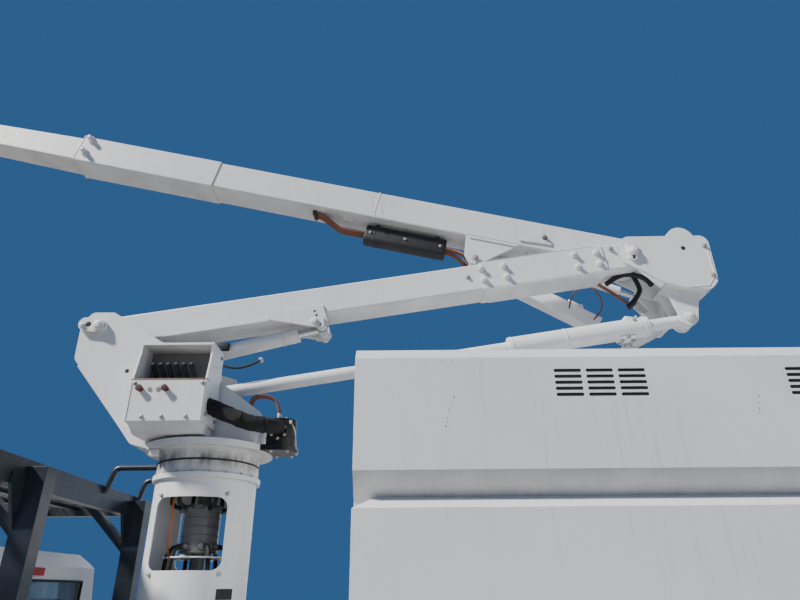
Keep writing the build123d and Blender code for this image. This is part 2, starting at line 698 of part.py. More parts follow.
def make_cab():
    outer = cab_form(0)
    inner = cab_form(CAB_WALL)
    window_y = ROOF_HALF_WIDTH - 140
    pane_angle = math.degrees(math.atan2(CAB_ROOF_Z - 35 - COWL_Z, WINDSHIELD_TOP_X - CAB_FRONT_X + 70))
    slope = Vector(math.cos(math.radians(pane_angle)), 0, math.sin(math.radians(pane_angle)))
    pane_low = Vector(CAB_FRONT_X - 70, 0, COWL_Z) + slope * 70
    pane_high = Vector(WINDSHIELD_TOP_X, 0, CAB_ROOF_Z - 35) - slope * 60
    across = Vector(0, 1, 0)
    pane_plane = Plane(origin=(pane_low + pane_high) / 2, x_dir=across, z_dir=across.cross(slope))
    pane_height = (pane_high - pane_low).length
    shield = ((-CAB_HALF_WIDTH + 150, -pane_height / 2), (-window_y - 30, pane_height / 2),
              (window_y + 30, pane_height / 2), (CAB_HALF_WIDTH - 150, -pane_height / 2))
    rear_pane = ((-window_y, BELT_Z + 60), (-window_y, CAB_ROOF_Z - 170), (window_y, CAB_ROOF_Z - 170),
                 (window_y, BELT_Z + 60))
    with BuildPart() as shell:
        add(outer)
        add(inner, mode=Mode.SUBTRACT)
        add(block((CAB_REAR_X - 1, CAB_FRONT_X + 1), span(0, RAIL_OUTER_Y + 60),
                  (CAB_BOTTOM_Z - 1, FRAME_TOP + 15)), mode=Mode.SUBTRACT)
        add(slab(Plane.XZ, door_outline(SHUT_GAP), -CAB_HALF_WIDTH - 50, CAB_HALF_WIDTH + 50),
            mode=Mode.SUBTRACT)
        add(prism(pane_plane, shield, -90, 90, 40), mode=Mode.SUBTRACT)
        add(prism(Plane.YZ, rear_pane, CAB_REAR_X - 20, CAB_REAR_X + 100, 40), mode=Mode.SUBTRACT)
        add(block((CAB_REAR_X, CAB_FRONT_X), span(0, CAB_HALF_WIDTH - CAB_WALL - 30),
                  (CAB_FLOOR_Z - 45, CAB_FLOOR_Z)))
    save(shell.part, "cab_shell")

    with BuildPart() as glass:
        add(prism(pane_plane, shield, -GLASS / 2 - 10, GLASS / 2 - 10, 40))
        add(prism(Plane.YZ, rear_pane, CAB_REAR_X + 15, CAB_REAR_X + 15 + GLASS, 40))
    save(glass.part, "cab_glass")

    with BuildPart() as wall:
        add(outer)
        add(inner, mode=Mode.SUBTRACT)
        add(slab(Plane.XZ, door_outline(0), CAB_HALF_WIDTH - 300, CAB_HALF_WIDTH + 50),
            mode=Mode.INTERSECT)
        add(slab(Plane.XZ, side_window_outline(), 0, CAB_HALF_WIDTH + 50, 25), mode=Mode.SUBTRACT)
        arm_z = MIRROR_Z[0] + 60
        for z in (arm_z, MIRROR_Z[1] - 60):
            add(bar((DOOR_FRONT_X - 150, CAB_HALF_WIDTH - 60, BELT_Z - 60),
                    (DOOR_FRONT_X - 150, MIRROR_Y[0] + 30, z), 12))
        add(block(span(DOOR_FRONT_X - 150, MIRROR_DEPTH / 2), MIRROR_Y, MIRROR_Z))
    save_pair(wall.part, "door")

    lean = math.degrees(math.atan2(CAB_HALF_WIDTH - 20 - ROOF_HALF_WIDTH, CAB_ROOF_Z - 65 - BELT_Z))
    pane_side = Plane(origin=(0, CAB_HALF_WIDTH - 20, BELT_Z), x_dir=(1, 0, 0),
                      z_dir=(0, -math.cos(math.radians(lean)), -math.sin(math.radians(lean))))
    sheet = ((DOOR_REAR_X, 0), (DOOR_REAR_X, 900), (DOOR_FRONT_X, 900), (DOOR_FRONT_X, 0))
    with BuildPart() as door_glass:
        add(prism(pane_side, sheet, 12, 12 + GLASS))
        add(slab(Plane.XZ, side_window_outline(), 0, CAB_HALF_WIDTH + 50, 25), mode=Mode.INTERSECT)
    save_pair(door_glass.part, "door_glass")


def make_interior():
    seat_x = (CAB_REAR_X + CAB_WALL + 60, CAB_REAR_X + CAB_WALL + 620)
    with BuildPart() as interior:
        for y in ((-780, -180), (180, 780)):
            cushion = ((seat_x[0], CAB_FLOOR_Z), (seat_x[0], CAB_FLOOR_Z + 300),
                       (seat_x[0] + 20, CAB_FLOOR_Z + 820), (seat_x[0] + 130, CAB_FLOOR_Z + 820),
                       (seat_x[0] + 190, CAB_FLOOR_Z + 330), (seat_x[1], CAB_FLOOR_Z + 350),
                       (seat_x[1], CAB_FLOOR_Z))
            add(slab(Plane.XZ, cushion, y[0], y[1]))
        dash_x = CAB_FRONT_X - CAB_WALL
        outline = ((dash_x, CAB_FLOOR_Z), (dash_x, COWL_Z - 60), (dash_x - 60, COWL_Z - 50),
                   (dash_x - 330, COWL_Z - 90), (dash_x - 390, COWL_Z - 190), (dash_x - 250, COWL_Z - 330),
                   (dash_x - 220, CAB_FLOOR_Z))
        add(slab(Plane.XZ, outline, -CAB_HALF_WIDTH + 130, CAB_HALF_WIDTH - 130))
    save(interior.part, "cab_interior")
    wheel_centre = Vector(dash_x - 470, 460, COWL_Z - 90)
    tilt = Vector(-math.cos(math.radians(35)), 0, math.sin(math.radians(35)))
    with BuildPart() as steering:
        plane = Plane(origin=wheel_centre, x_dir=(0, 1, 0), z_dir=tilt)
        with BuildSketch(plane):
            Circle(215)
            Circle(185, mode=Mode.SUBTRACT)
            Circle(50)
            with PolarLocations(0, 3, start_angle=-90):
                with Locations((118, 0)):
                    Rectangle(150, 34)
        extrude(amount=24)
        add(bar(wheel_centre, wheel_centre - tilt * 100, 26))
    save(steering.part, "steering_wheel")


# Front end
def make_front_end():
    rear_x = DOOR_FRONT_X + 2 * SHUT_GAP + 4
    slope = ((FENDER_INNER_Y, FENDER_BOTTOM_Z), (FENDER_INNER_Y, HOOD_BOTTOM_Z + 60),
             (FENDER_OUTER_Y - 130, HOOD_BOTTOM_Z + 10), (FENDER_OUTER_Y - 20, HOOD_BOTTOM_Z - 110),
             (FENDER_OUTER_Y, FENDER_BOTTOM_Z + 200), (FENDER_OUTER_Y - 15, FENDER_BOTTOM_Z))
    wall = FENDER_WALL
    hollow = ((FENDER_INNER_Y + wall, FENDER_BOTTOM_Z - 1), (FENDER_INNER_Y + wall, HOOD_BOTTOM_Z + 45),
              (FENDER_OUTER_Y - 135, HOOD_BOTTOM_Z - 4), (FENDER_OUTER_Y - 34, HOOD_BOTTOM_Z - 116),
              (FENDER_OUTER_Y - wall, FENDER_BOTTOM_Z + 200), (FENDER_OUTER_Y - 30, FENDER_BOTTOM_Z - 1))
    with BuildPart() as cavity:
        add(prism(Plane.YZ, hollow, rear_x + wall, FENDER_FRONT_X - wall))
        add(disc(Plane.XZ, (FRONT_AXLE_X, AXLE_Z), ARCH_R + wall, 0, FENDER_OUTER_Y),
            mode=Mode.SUBTRACT)
    with BuildPart() as clip:
        add(prism(Plane.YZ, slope, rear_x, FENDER_FRONT_X))
        add(cavity.part, mode=Mode.SUBTRACT)
        mirror(about=Plane.XZ)
        add(block((FENDER_FRONT_X - 90, FENDER_FRONT_X - 20), span(0, FENDER_INNER_Y + 10),
                  (FRAME_TOP + 10, HOOD_BOTTOM_Z - 20)))
        add(disc(Plane.XZ, (FRONT_AXLE_X, AXLE_Z), ARCH_R, -FENDER_OUTER_Y - 5, FENDER_OUTER_Y + 5),
            mode=Mode.SUBTRACT)
        add(block((CAB_FRONT_X - 150, CAB_FRONT_X + SHUT_GAP), span(0, CAB_HALF_WIDTH + SHUT_GAP),
                  (CAB_BOTTOM_Z - SHUT_GAP, COWL_Z + 50)), mode=Mode.SUBTRACT)
    save(clip.part, "front_fenders")

    outlines = []
    for inset in (0.0, HOOD_WALL):
        top = COWL_Z + 10 - inset
        low = HOOD_BOTTOM_Z - inset
        rear = CAB_FRONT_X + 15 - 2 * inset
        front = HOOD_FRONT_X - inset
        half = HOOD_HALF_WIDTH - inset
        profile = ((rear, low), (rear, top), (front - 445, top - 45), (front - 70, top - 125),
                   (front, top - 190), (front, low))
        ends = ((-half, low), (-half, low + 50), (-half + 70, top - 70), (-half + 330, top - 12),
                (0, top), (half - 330, top - 12), (half - 70, top - 70), (half, low + 50), (half, low))
        with BuildPart() as form:
            add(slab(Plane.XZ, profile, -HOOD_HALF_WIDTH, HOOD_HALF_WIDTH))
            add(prism(Plane.YZ, ends, CAB_FRONT_X - 100, HOOD_FRONT_X), mode=Mode.INTERSECT)
        outlines.append(form.part)
    with BuildPart() as hood:
        add(outlines[0])
        add(outlines[1], mode=Mode.SUBTRACT)
    save(hood.part, "hood")

    with BuildPart() as grille:
        x = (FENDER_FRONT_X, FENDER_FRONT_X + GRILLE_DEPTH)
        y = span(0, GRILLE_HALF_WIDTH)
        add(block(x, y, GRILLE_Z))
        height = GRILLE_Z[1] - GRILLE_Z[0]
        pitch = (height - 40) / GRILLE_BARS
        for step in range(GRILLE_BARS):
            low = GRILLE_Z[0] + 20 + pitch * step
            add(block((x[0] + 15, x[1] + 5), (y[0] + 30, y[1] - 30), (low + 18, low + pitch)),
                mode=Mode.SUBTRACT)
    save(grille.part, "grille")

    with BuildPart() as bumper:
        plan = ((BUMPER_X[0], 0), (BUMPER_X[1], 0), (BUMPER_X[1], 780), (BUMPER_X[1] - 70, FENDER_OUTER_Y),
                (BUMPER_X[0] - 50, FENDER_OUTER_Y + 10), (BUMPER_X[0] - 50, FENDER_OUTER_Y - 40),
                (BUMPER_X[0], FENDER_OUTER_Y - 60))
        add(prism(Plane.XY, plan, BUMPER_Z[0], BUMPER_Z[1]))
        mirror(about=Plane.XZ)
        for sign in (-1, 1):
            y = span(sign * TOW_PLATE_Y, TOW_PLATE / 2)
            shape = ((RAIL_FRONT_X - 60, RAIL_BOTTOM), (BUMPER_X[0] + 10, RAIL_BOTTOM),
                     (BUMPER_X[0] + 40, BUMPER_Z[0] + 5), (TOW_EYE_X, TOW_EYE_Z + TOW_EYE_R),
                     (TOW_EYE_X, TOW_EYE_Z - TOW_EYE_R), (RAIL_FRONT_X - 60, RAIL_BOTTOM - 110))
            add(slab(Plane.XZ, shape, y[0], y[1]))
            add(disc(Plane.XZ, (TOW_EYE_X, TOW_EYE_Z), TOW_EYE_R, y[0], y[1]))
            add(disc(Plane.XZ, (TOW_EYE_X, TOW_EYE_Z), TOW_HOLE_R, y[0] - 5, y[1] + 5),
                mode=Mode.SUBTRACT)
            add(block((RAIL_FRONT_X, BUMPER_X[0] + 5), span(sign * TOW_PLATE_Y, 40),
                      (RAIL_BOTTOM + 20, BUMPER_Z[1] - 10)))
    save(bumper.part, "front_bumper")

    with BuildPart() as lamps:
        for sign in (-1, 1):
            y = sorted((sign * LAMP_Y[0], sign * LAMP_Y[1]))
            add(block((FENDER_FRONT_X, FENDER_FRONT_X + 35), y, LAMP_Z))
            y = sorted((sign * (BUMPER_TUBE_HALF - 160), sign * (BUMPER_TUBE_HALF - 20)))
            add(block((BUMPER_TUBE_X[0] + 10, BUMPER_TUBE_X[0] + 45), y,
                      (BUMPER_TUBE_Z[1], BUMPER_TUBE_Z[1] + 80)))
        add(block((CAB_REAR_X - 16, CAB_REAR_X), (-160, 160), (CAB_ROOF_Z - 150, CAB_ROOF_Z - 105)))
    save(lamps.part, "lamps")


# Cab guard, pedestal and cabinets
def limb_tube(y, end_x):
    """A bent tube that keeps branches off the guard's rear edge."""
    start_x = GUARD_POST_X[1] - 2
    with BuildPart() as tube:
        with BuildLine() as path:
            FilletPolyline((start_x, y, GUARD_TOP_Z - 40), (start_x - 50, y, LIMB_TUBE_Z),
                           (end_x, y, LIMB_TUBE_Z), radius=45)
        with BuildSketch(Plane(origin=path.line @ 0, z_dir=path.line % 0)):
            Circle(LIMB_TUBE_R)
        sweep(path=path.line)
    return tube.part


def make_guard():
    low = GUARD_TOP_Z - GUARD_HEADER
    half = GUARD_TUBE / 2
    rear_x = GUARD_POST_X[1] - 2
    inner = (rear_x + GUARD_HEADER_DEPTH, GUARD_FRONT_X - GUARD_RAIL)
    pitch = (inner[1] - inner[0]) / (GUARD_BARS + 1)
    bar_z = (GUARD_TOP_Z - 60, GUARD_TOP_Z - 20)
    with BuildPart() as guard:
        add(block(GUARD_POST_X, span(0, GUARD_POST_Y + half), (FRAME_TOP, FRAME_TOP + 60)))
        for sign in (-1, 1):
            y = sign * GUARD_POST_Y
            add(block(GUARD_POST_X, span(y, half), (FRAME_TOP + 60, GUARD_TOP_Z - 40)))
            flare = ((y - half, low - 2 * GUARD_FLARE), (y + half, low - 2 * GUARD_FLARE),
                     (y + half + GUARD_FLARE, low), (y + half + GUARD_FLARE, low + 60),
                     (y - half - GUARD_FLARE, low + 60), (y - half - GUARD_FLARE, low))
            add(prism(Plane.YZ, flare, rear_x - 12, rear_x + 4))
            brace = ((GUARD_POST_X[1] - 2, low - 260), (inner[0] + pitch + 20, bar_z[0] + 5),
                     (inner[0] + pitch - 60, bar_z[0] + 5), (GUARD_POST_X[1] - 2, low - 180))
            add(slab(Plane.XZ, brace, y - 30, y + 30))
            y = sorted((sign * GUARD_HALF_WIDTH, sign * (GUARD_HALF_WIDTH - GUARD_RAIL)))
            add(block((rear_x, GUARD_FRONT_X), y, (GUARD_TOP_Z - 100, GUARD_TOP_Z)))
        add(block((rear_x, inner[0]), span(0, GUARD_HALF_WIDTH), (low, GUARD_TOP_Z)))
        add(block((inner[1], GUARD_FRONT_X), span(0, GUARD_HALF_WIDTH), (GUARD_TOP_Z - 100, GUARD_TOP_Z)))
        for step in range(GUARD_BARS):
            x = inner[0] + pitch * (step + 1)
            add(block(span(x, 20), span(0, GUARD_HALF_WIDTH - GUARD_RAIL), bar_z))
        for step in range(-4, 5):
            y = step * (GUARD_HALF_WIDTH - GUARD_RAIL) / 5
            add(block(inner, span(y, 4), (GUARD_TOP_Z - 45, GUARD_TOP_Z)))
        for y, end_x in LIMB_TUBES:
            add(limb_tube(y, end_x))
    save(guard.part, "cab_guard")


def make_pedestal():
    plate_top = FRAME_TOP + PEDESTAL_PLATE
    with BuildPart() as column:
        with BuildSketch(Plane.XY.offset(FRAME_TOP)):
            Rectangle(2 * PEDESTAL_PLATE_HALF, 2 * RAIL_OUTER_Y)
        extrude(amount=PEDESTAL_PLATE)
        with BuildSketch(Plane.XY.offset(plate_top)):
            Circle(PEDESTAL_R)
            Circle(PEDESTAL_R - PEDESTAL_WALL, mode=Mode.SUBTRACT)
        extrude(amount=PEDESTAL_TOP_Z - plate_top)
        window = [(sx * WINDOW_HALF_WIDTH, z) for sx, z in
                  ((-1, WINDOW_Z[0]), (-1, WINDOW_Z[1]), (1, WINDOW_Z[1]), (1, WINDOW_Z[0]))]
        add(slab(Plane.XZ, window, -PEDESTAL_R - 5, PEDESTAL_R + 5, WINDOW_CORNER), mode=Mode.SUBTRACT)
        for angle in (45, 135, 225, 315):
            plane = Plane.XZ.rotated((0, 0, angle))
            gusset = ((PEDESTAL_R - 6, plate_top - 2), (PEDESTAL_R - 6, plate_top + 360),
                      (PEDESTAL_R + 90, plate_top - 2))
            add(prism(plane, gusset, -8, 8))
        with BuildSketch(Plane.XY.offset(PEDESTAL_TOP_Z - 30)):
            Circle(PEDESTAL_R + 22)
            Circle(PEDESTAL_R - PEDESTAL_WALL, mode=Mode.SUBTRACT)
        extrude(amount=30)
    save(column.part, "pedestal")

    with BuildPart() as core:
        with BuildSketch(Plane.XY.offset(MANIFOLD_Z[0])):
            Circle(MANIFOLD_R)
        extrude(amount=MANIFOLD_Z[1] - MANIFOLD_Z[0])
        with BuildSketch(Plane.XY.offset(plate_top)):
            Circle(45)
        extrude(amount=PEDESTAL_TOP_Z - 20 - plate_top)
    save(core.part, "manifold")

    with BuildPart() as ring:
        with BuildSketch(Plane.XY.offset(PEDESTAL_TOP_Z)):
            Circle(SLEW_RING_R)
            Circle(PEDESTAL_R - 70, mode=Mode.SUBTRACT)
        extrude(amount=SLEW_SEAM_Z - SLEW_SEAM / 2 - PEDESTAL_TOP_Z)
    save(ring.part, "slew_ring")


def make_cabinets():
    wall = CABINET_WALL
    with BuildPart() as cabinet:
        add(block(CABINET_X, CABINET_Y, CABINET_Z))
        add(block((CABINET_X[0] + wall, CABINET_X[1] - wall), (CABINET_Y[0] + wall, CABINET_Y[1] + 1),
                  (CABINET_Z[0] + wall, CABINET_Z[1] - wall)), mode=Mode.SUBTRACT)
        mirror(about=Plane.XZ)
    save(cabinet.part, "cabinets")
    back_y = CABINET_Y[1] + SHUT_GAP
    face_y = back_y + CABINET_DOOR
    hinge_x = CABINET_X[1] - 5
    hinge_length = CABINET_HINGE_LENGTH
    with BuildPart() as door:
        add(block((CABINET_X[0] + 5, hinge_x), (back_y, face_y), (CABINET_Z[0] + 5, CABINET_Z[1] - 5)))
        fillet(door.edges().filter_by(Axis.Y), 20)
        for z in (CABINET_Z[0] + CABINET_HINGE_INSET, CABINET_Z[1] - CABINET_HINGE_INSET - hinge_length):
            add(bar((hinge_x, face_y, z), (hinge_x, face_y, z + hinge_length), CABINET_HINGE_R))
    save_pair(door.part, "cabinet_door")


# Chip body
def body_outline(inset):
    """Half of the body's end view outline, from its floor up to its roof."""
    half = BODY_HALF_WIDTH - inset
    top = BODY_TOP_Z - inset
    low = BODY_FLOOR + BODY_BOTTOM_Z if inset else BODY_BOTTOM_Z
    bevel = BODY_BEVEL - inset * 0.3
    slope_z = UPPER_PANEL_Z + inset * 0.4
    return ((half, low), (half, LEDGE_Z - inset), (half - GROOVE_DEPTH, GROOVE_Z - inset * 0.6),
            (half - GROOVE_DEPTH, GROOVE_Z), (half, slope_z), (half, top - bevel), (half - bevel, top))


def make_body():
    halves = [body_outline(0), body_outline(BODY_WALL)]
    forms = []
    ends = ((BODY_X[0], BODY_X[1]), (BODY_X[0] - 5, BODY_X[1] - BODY_WALL))
    for half, x in zip(halves, ends):
        full = list(half) + [(-y, z) for y, z in reversed(half)]
        forms.append(prism(Plane.YZ, full, x[0], x[1]))
    vent_y = BODY_HALF_WIDTH + 10
    inner_x = BODY_X[1] - BODY_WALL
    lining = ((inner_x + 1, LEDGE_Z - BODY_WALL),
              (inner_x - GROOVE_DEPTH, GROOVE_Z - BODY_WALL * 0.6), (inner_x - GROOVE_DEPTH, GROOVE_Z),
              (inner_x + 1, UPPER_PANEL_Z + BODY_WALL * 0.4))
    with BuildPart() as hollow:
        add(forms[1])
        add(slab(Plane.XZ, lining, -BODY_HALF_WIDTH, BODY_HALF_WIDTH), mode=Mode.SUBTRACT)
    with BuildPart() as body:
        add(forms[0])
        front_groove = ((BODY_X[1] + 1, LEDGE_Z), (BODY_X[1] - GROOVE_DEPTH, GROOVE_Z),
                        (BODY_X[1] + 1, UPPER_PANEL_Z))
        add(slab(Plane.XZ, front_groove, -BODY_HALF_WIDTH, BODY_HALF_WIDTH), mode=Mode.SUBTRACT)
        add(hollow.part, mode=Mode.SUBTRACT)
        with BuildSketch(Plane.XZ.offset(-vent_y)):
            for group_x in VENT_GROUPS_X:
                with Locations((group_x, VENT_CENTRE_Z)):
                    with GridLocations(VENT_PITCH_X, VENT_PITCH_Z, 3, 5):
                        SlotOverall(VENT_LENGTH, VENT_HEIGHT)
        extrude(amount=2 * vent_y, mode=Mode.SUBTRACT)
        for sign in (-1, 1):
            y = sorted((sign * RAIL_OUTER_Y, sign * (RAIL_OUTER_Y - SILL_WIDTH)))
            add(block((BODY_X[0], BODY_X[1]), y, (FRAME_TOP, BODY_BOTTOM_Z + 5)))
    save(body.part, "chip_body")

    gate_half = [(y, z) for y, z in body_outline(0)]
    shape = [(SHUT_GAP / 2, BODY_BOTTOM_Z)] + [(y, z) for y, z in gate_half]
    shape += [(SHUT_GAP / 2, BODY_TOP_Z)]
    with BuildPart() as gate:
        add(prism(Plane.YZ, shape, BODY_X[0] - SHUT_GAP - TAILGATE, BODY_X[0] - SHUT_GAP))
        hinge_x = BODY_X[0] - SHUT_GAP - TAILGATE
        for z in (BODY_BOTTOM_Z + 200, BODY_BOTTOM_Z + 1000, BODY_TOP_Z - 250):
            add(bar((hinge_x, BODY_HALF_WIDTH - 4, z), (hinge_x, BODY_HALF_WIDTH - 4, z + 120),
                    TAILGATE_HINGE_R))
    save_pair(gate.part, "tailgate")


def make_rear_end():
    with BuildPart() as bumper:
        add(block(BUMPER_TUBE_X, span(0, BUMPER_TUBE_HALF), BUMPER_TUBE_Z))
        for sign in (-1, 1):
            plate = ((BUMPER_TUBE_X[1] - 20, BUMPER_TUBE_Z[1] - 20), (RAIL_REAR_X + 250, RAIL_BOTTOM - 20),
                     (RAIL_REAR_X + 250, FRAME_TOP - 30), (RAIL_REAR_X + 20, FRAME_TOP - 30),
                     (BUMPER_TUBE_X[1] - 20, BUMPER_TUBE_Z[1] + 40))
            y = sorted((sign * RAIL_OUTER_Y, sign * (RAIL_OUTER_Y + 12)))
            add(slab(Plane.XZ, plate, y[0], y[1]))
            brace = ((BUMPER_TUBE_X[1] - 30, BUMPER_TUBE_Z[0]), (RAIL_REAR_X + 250, RAIL_BOTTOM - 20),
                     (RAIL_REAR_X + 250, RAIL_BOTTOM + 40), (BUMPER_TUBE_X[1] - 30, BUMPER_TUBE_Z[1]))
            add(slab(Plane.XZ, brace, y[0], y[1]))
    save(bumper.part, "rear_bumper")


def make_side_gear():
    with BuildPart() as tank:
        add(block(TANK_X, TANK_Y, TANK_Z))
        fillet(tank.edges().filter_by(Axis.X), 60)
        for x in (TANK_X[0] + 150, TANK_X[1] - 150):
            add(block(span(x, 30), (RAIL_OUTER_Y, TANK_Y[0] + 5), (RAIL_BOTTOM + 20, RAIL_BOTTOM + 70)))
    save(tank.part, "fuel_tank")
    rear_x, front_x = SILENCER_X
    with BuildPart() as silencer:
        add(bar((rear_x, SILENCER_Y, SILENCER_Z), (front_x, SILENCER_Y, SILENCER_Z), SILENCER_R))
        for x in (rear_x + 120, front_x - 120):
            add(block(span(x, 20), (SILENCER_Y + SILENCER_R - 30, -RAIL_OUTER_Y),
                      (SILENCER_Z + 30, RAIL_BOTTOM + 50)))
        add(bar((rear_x - 350, SILENCER_Y, SILENCER_Z), (rear_x + 10, SILENCER_Y, SILENCER_Z), 45))
    save(silencer.part, "silencer")


# Turret
def make_turret():
    pin_x, pin_z = TURRET_PIN
    link_x, link_z = pin_x + LINK_DROP[0], pin_z + LINK_DROP[1]
    low = TURRET_FLANGE_Z + 6
    side = ((TURRET_BASE_X[0], low, 0), (TURRET_BASE_X[0] - 30, 2830, 40), (-75, 3037, 30), (-56, 3190, 20),
            (359, 3323, 60), (pin_x - 200, pin_z + 56, 40), (pin_x - 120, pin_z + 104, 30),
            (pin_x + 28, pin_z + 105, 45), (pin_x + 92, pin_z + 21, 45), (pin_x + 85, 3208, 60),
            (450, 2640, 40), (330, low, 0))
    inner = TURRET_HALF_WIDTH - TURRET_PLATE
    with BuildPart() as turret:
        with BuildSketch(Plane.XY.offset(SLEW_SEAM_Z + SLEW_SEAM / 2)):
            Circle(SLEW_RING_R)
            Circle(PEDESTAL_R - 70, mode=Mode.SUBTRACT)
        extrude(amount=TURRET_FLANGE_Z - SLEW_SEAM_Z)
        with BuildSketch(Plane.XY.offset(TURRET_FLANGE_Z)):
            Circle(TURRET_FLANGE_R)
        extrude(amount=TURRET_FLANGE)
        add(block(TURRET_BASE_X, span(0, TURRET_HALF_WIDTH),
                  (TURRET_FLANGE_Z + TURRET_FLANGE - 2, TURRET_BASE_TOP_Z)))
        for y in ((inner, TURRET_HALF_WIDTH), (-TURRET_HALF_WIDTH, -inner)):
            add(plate(Plane.XZ, side, y[0], y[1]))
        web = ((450, 2640), (pin_x + 60, 3160), (pin_x + 42, 3172), (420, 2652), (330, 2640), (330, low))
        add(slab(Plane.XZ, web, -inner - 2, inner + 2))
        rear_web = ((TURRET_BASE_X[0], 2700), (TURRET_BASE_X[0] - 25, 2820), (-230, 2900), (-230, 2700))
        add(slab(Plane.XZ, rear_web, -inner - 2, inner + 2))
        lugs = (((pin_x, pin_z), LOWER_HALF_WIDTH + SIDE_GAP, BOSS_R, PIN_R),
                ((link_x, link_z), LINK_EYE_HALF + SIDE_GAP, LINK_EYE_R, PIN_R - 8),
                (RAM_BASE, RAM_EYE_HALF + SIDE_GAP, RAM_EYE_R + 8, RAM_PIN_R))
        for centre, gap, boss_r, pin_r in lugs:
            for side in ((gap, inner + 2), (-inner - 2, -gap)):
                add(disc(Plane.XZ, centre, boss_r, side[0], side[1]))
            add(disc(Plane.XZ, centre, pin_r, -inner - 5, inner + 5))
        for right, left in ((TURRET_HALF_WIDTH - 2, TURRET_HALF_WIDTH + KEEPER_PROUD),
                            (-TURRET_HALF_WIDTH - KEEPER_PROUD, 2 - TURRET_HALF_WIDTH)):
            add(keeper(Plane.XZ, (pin_x, pin_z), KEEPER_LENGTH, KEEPER_WIDTH, right, left, 8))
    save(turret.part, "turret")
    return turret.part


def make_controls():
    front = CONTROL_Y[1]
    with BuildPart() as box:
        add(block(CONTROL_X, CONTROL_Y, CONTROL_Z))
        recess = (CONTROL_X[0], CONTROL_X[1])
        add(block(recess, (CONTROL_Y[0], RECESS_FRONT_Y), (CONTROL_Z[1] - 5, RECESS_TOP_Z)))
        add(block((recess[0] + 12, recess[1] - 12), (CONTROL_Y[0] + 60, RECESS_FRONT_Y + 5),
                  (CONTROL_Z[1] + 12, RECESS_TOP_Z - 14)), mode=Mode.SUBTRACT)
        add(block((CONTROL_X[0] + 60, CONTROL_X[1] - 60), (TURRET_HALF_WIDTH, CONTROL_Y[0] + 5),
                  (CONTROL_Z[0] + 60, RECESS_TOP_Z - 120)))
        flap_z = (CONTROL_Z[0] - FLAP_DROP, CONTROL_Z[0] + 2)
        flap = ((CONTROL_Y[0], flap_z[1]), (CONTROL_Y[1], flap_z[1]),
                (CONTROL_Y[1] - FLAP_SLOPE, flap_z[0]), (CONTROL_Y[0], flap_z[0]))
        add(prism(Plane.YZ, flap, CONTROL_X[0] + 15, CONTROL_X[1] - 15))
        cheek = ((CONTROL_Y[0], CONTROL_Z[1] - 5), (CONTROL_Y[1], CONTROL_Z[1] - 5),
                 (RECESS_FRONT_Y, RECESS_TOP_Z - 60), (RECESS_FRONT_Y - 30, RECESS_TOP_Z),
                 (CONTROL_Y[0], RECESS_TOP_Z))
        for x in CONTROL_X[0], CONTROL_X[1] - 12:
            add(prism(Plane.YZ, cheek, x, x + 12))
    save(box.part, "control_box")
    with BuildPart() as levers:
        middle = (CONTROL_X[0] + CONTROL_X[1]) / 2
        back = CONTROL_Y[0] + 60
        base_z = CONTROL_Z[1] + 12
        length = LEVER_PITCH * (LEVER_COUNT - 1) + 50
        add(block(span(middle, length / 2), (back + 10, back + 100), (base_z, base_z + 45)))
        for step in range(LEVER_COUNT):
            x = middle + (step - (LEVER_COUNT - 1) / 2) * LEVER_PITCH
            add(bar((x, back + 50, base_z + 30), (x, back + 110, base_z + 30 + LEVER_LENGTH), LEVER_R))
    save(levers.part, "levers")
    return box.part


def make_slew_drive():
    x, y = DRIVE_CENTRE
    with BuildPart() as drive:
        with BuildSketch(Plane.XY.offset(TURRET_FLANGE_Z + 4)):
            with Locations((x, y)):
                Circle(DRIVE_R + 20)
            Polygon((x, y - DRIVE_R - 20), (x + 160, y - DRIVE_R - 20), (x + 160, y + DRIVE_R + 20),
                    (x, y + DRIVE_R + 20))
            Circle(TURRET_FLANGE_R, mode=Mode.SUBTRACT)
        extrude(amount=TURRET_FLANGE - 4)
        with BuildSketch(Plane.XY.offset(TURRET_FLANGE_Z + TURRET_FLANGE)):
            with Locations((x, y)):
                Circle(DRIVE_R)
        extrude(amount=DRIVE_Z[1] - TURRET_FLANGE_Z - TURRET_FLANGE)
    save(drive.part, "slew_drive")
    return drive.part


def make_turret_hoses(carriers):
    """A sleeved bundle and two hoses that run to the slew motor."""
    x, y = DRIVE_CENTRE
    top = DRIVE_Z[1]
    web_x, web_z = -262, 2878
    with BuildPart() as hoses:
        route = ((CONTROL_X[0] + 25, 400, 2832), (-190, 400, 2775), (-345, 350, 2722),
                 (x, 262, 2745), (x, y + DRIVE_R - 8, 2752))
        add(hose(route, [130, 110, 70], BUNDLE_R))
        for side_y in (150, 105):
            route = ((web_x, side_y, web_z - 5), (web_x, side_y, top + 148),
                     (x + 10, side_y - 30, top + 148), (x + 10, side_y - 30, top - 5))
            add(hose(route, [62, 80], HOSE_R))
        for carrier in carriers:
            add(carrier, mode=Mode.SUBTRACT)
    save(hoses.part, "turret_hoses")


# Booms
def lower_plane():
    angle = math.radians(LOWER_ANGLE)
    return Plane(origin=(TURRET_PIN[0], 0, TURRET_PIN[1]), x_dir=(-math.cos(angle), 0, math.sin(angle)),
                 z_dir=(0, 1, 0))


def upper_plane():
    angle = math.radians(UPPER_ANGLE)
    return Plane(origin=(UPPER_PIN[0], 0, UPPER_PIN[1]), x_dir=(math.cos(angle), 0, math.sin(angle)),
                 z_dir=(0, -1, 0))


def at(plane, point):
    """A side view point of a boom's plane as (x, z) of the truck."""
    place = plane.from_local_coords(Vector(point[0], point[1], 0))
    return place.X, place.Z


def elbow_pin():
    return at(lower_plane(), (LOWER_LENGTH, 0))


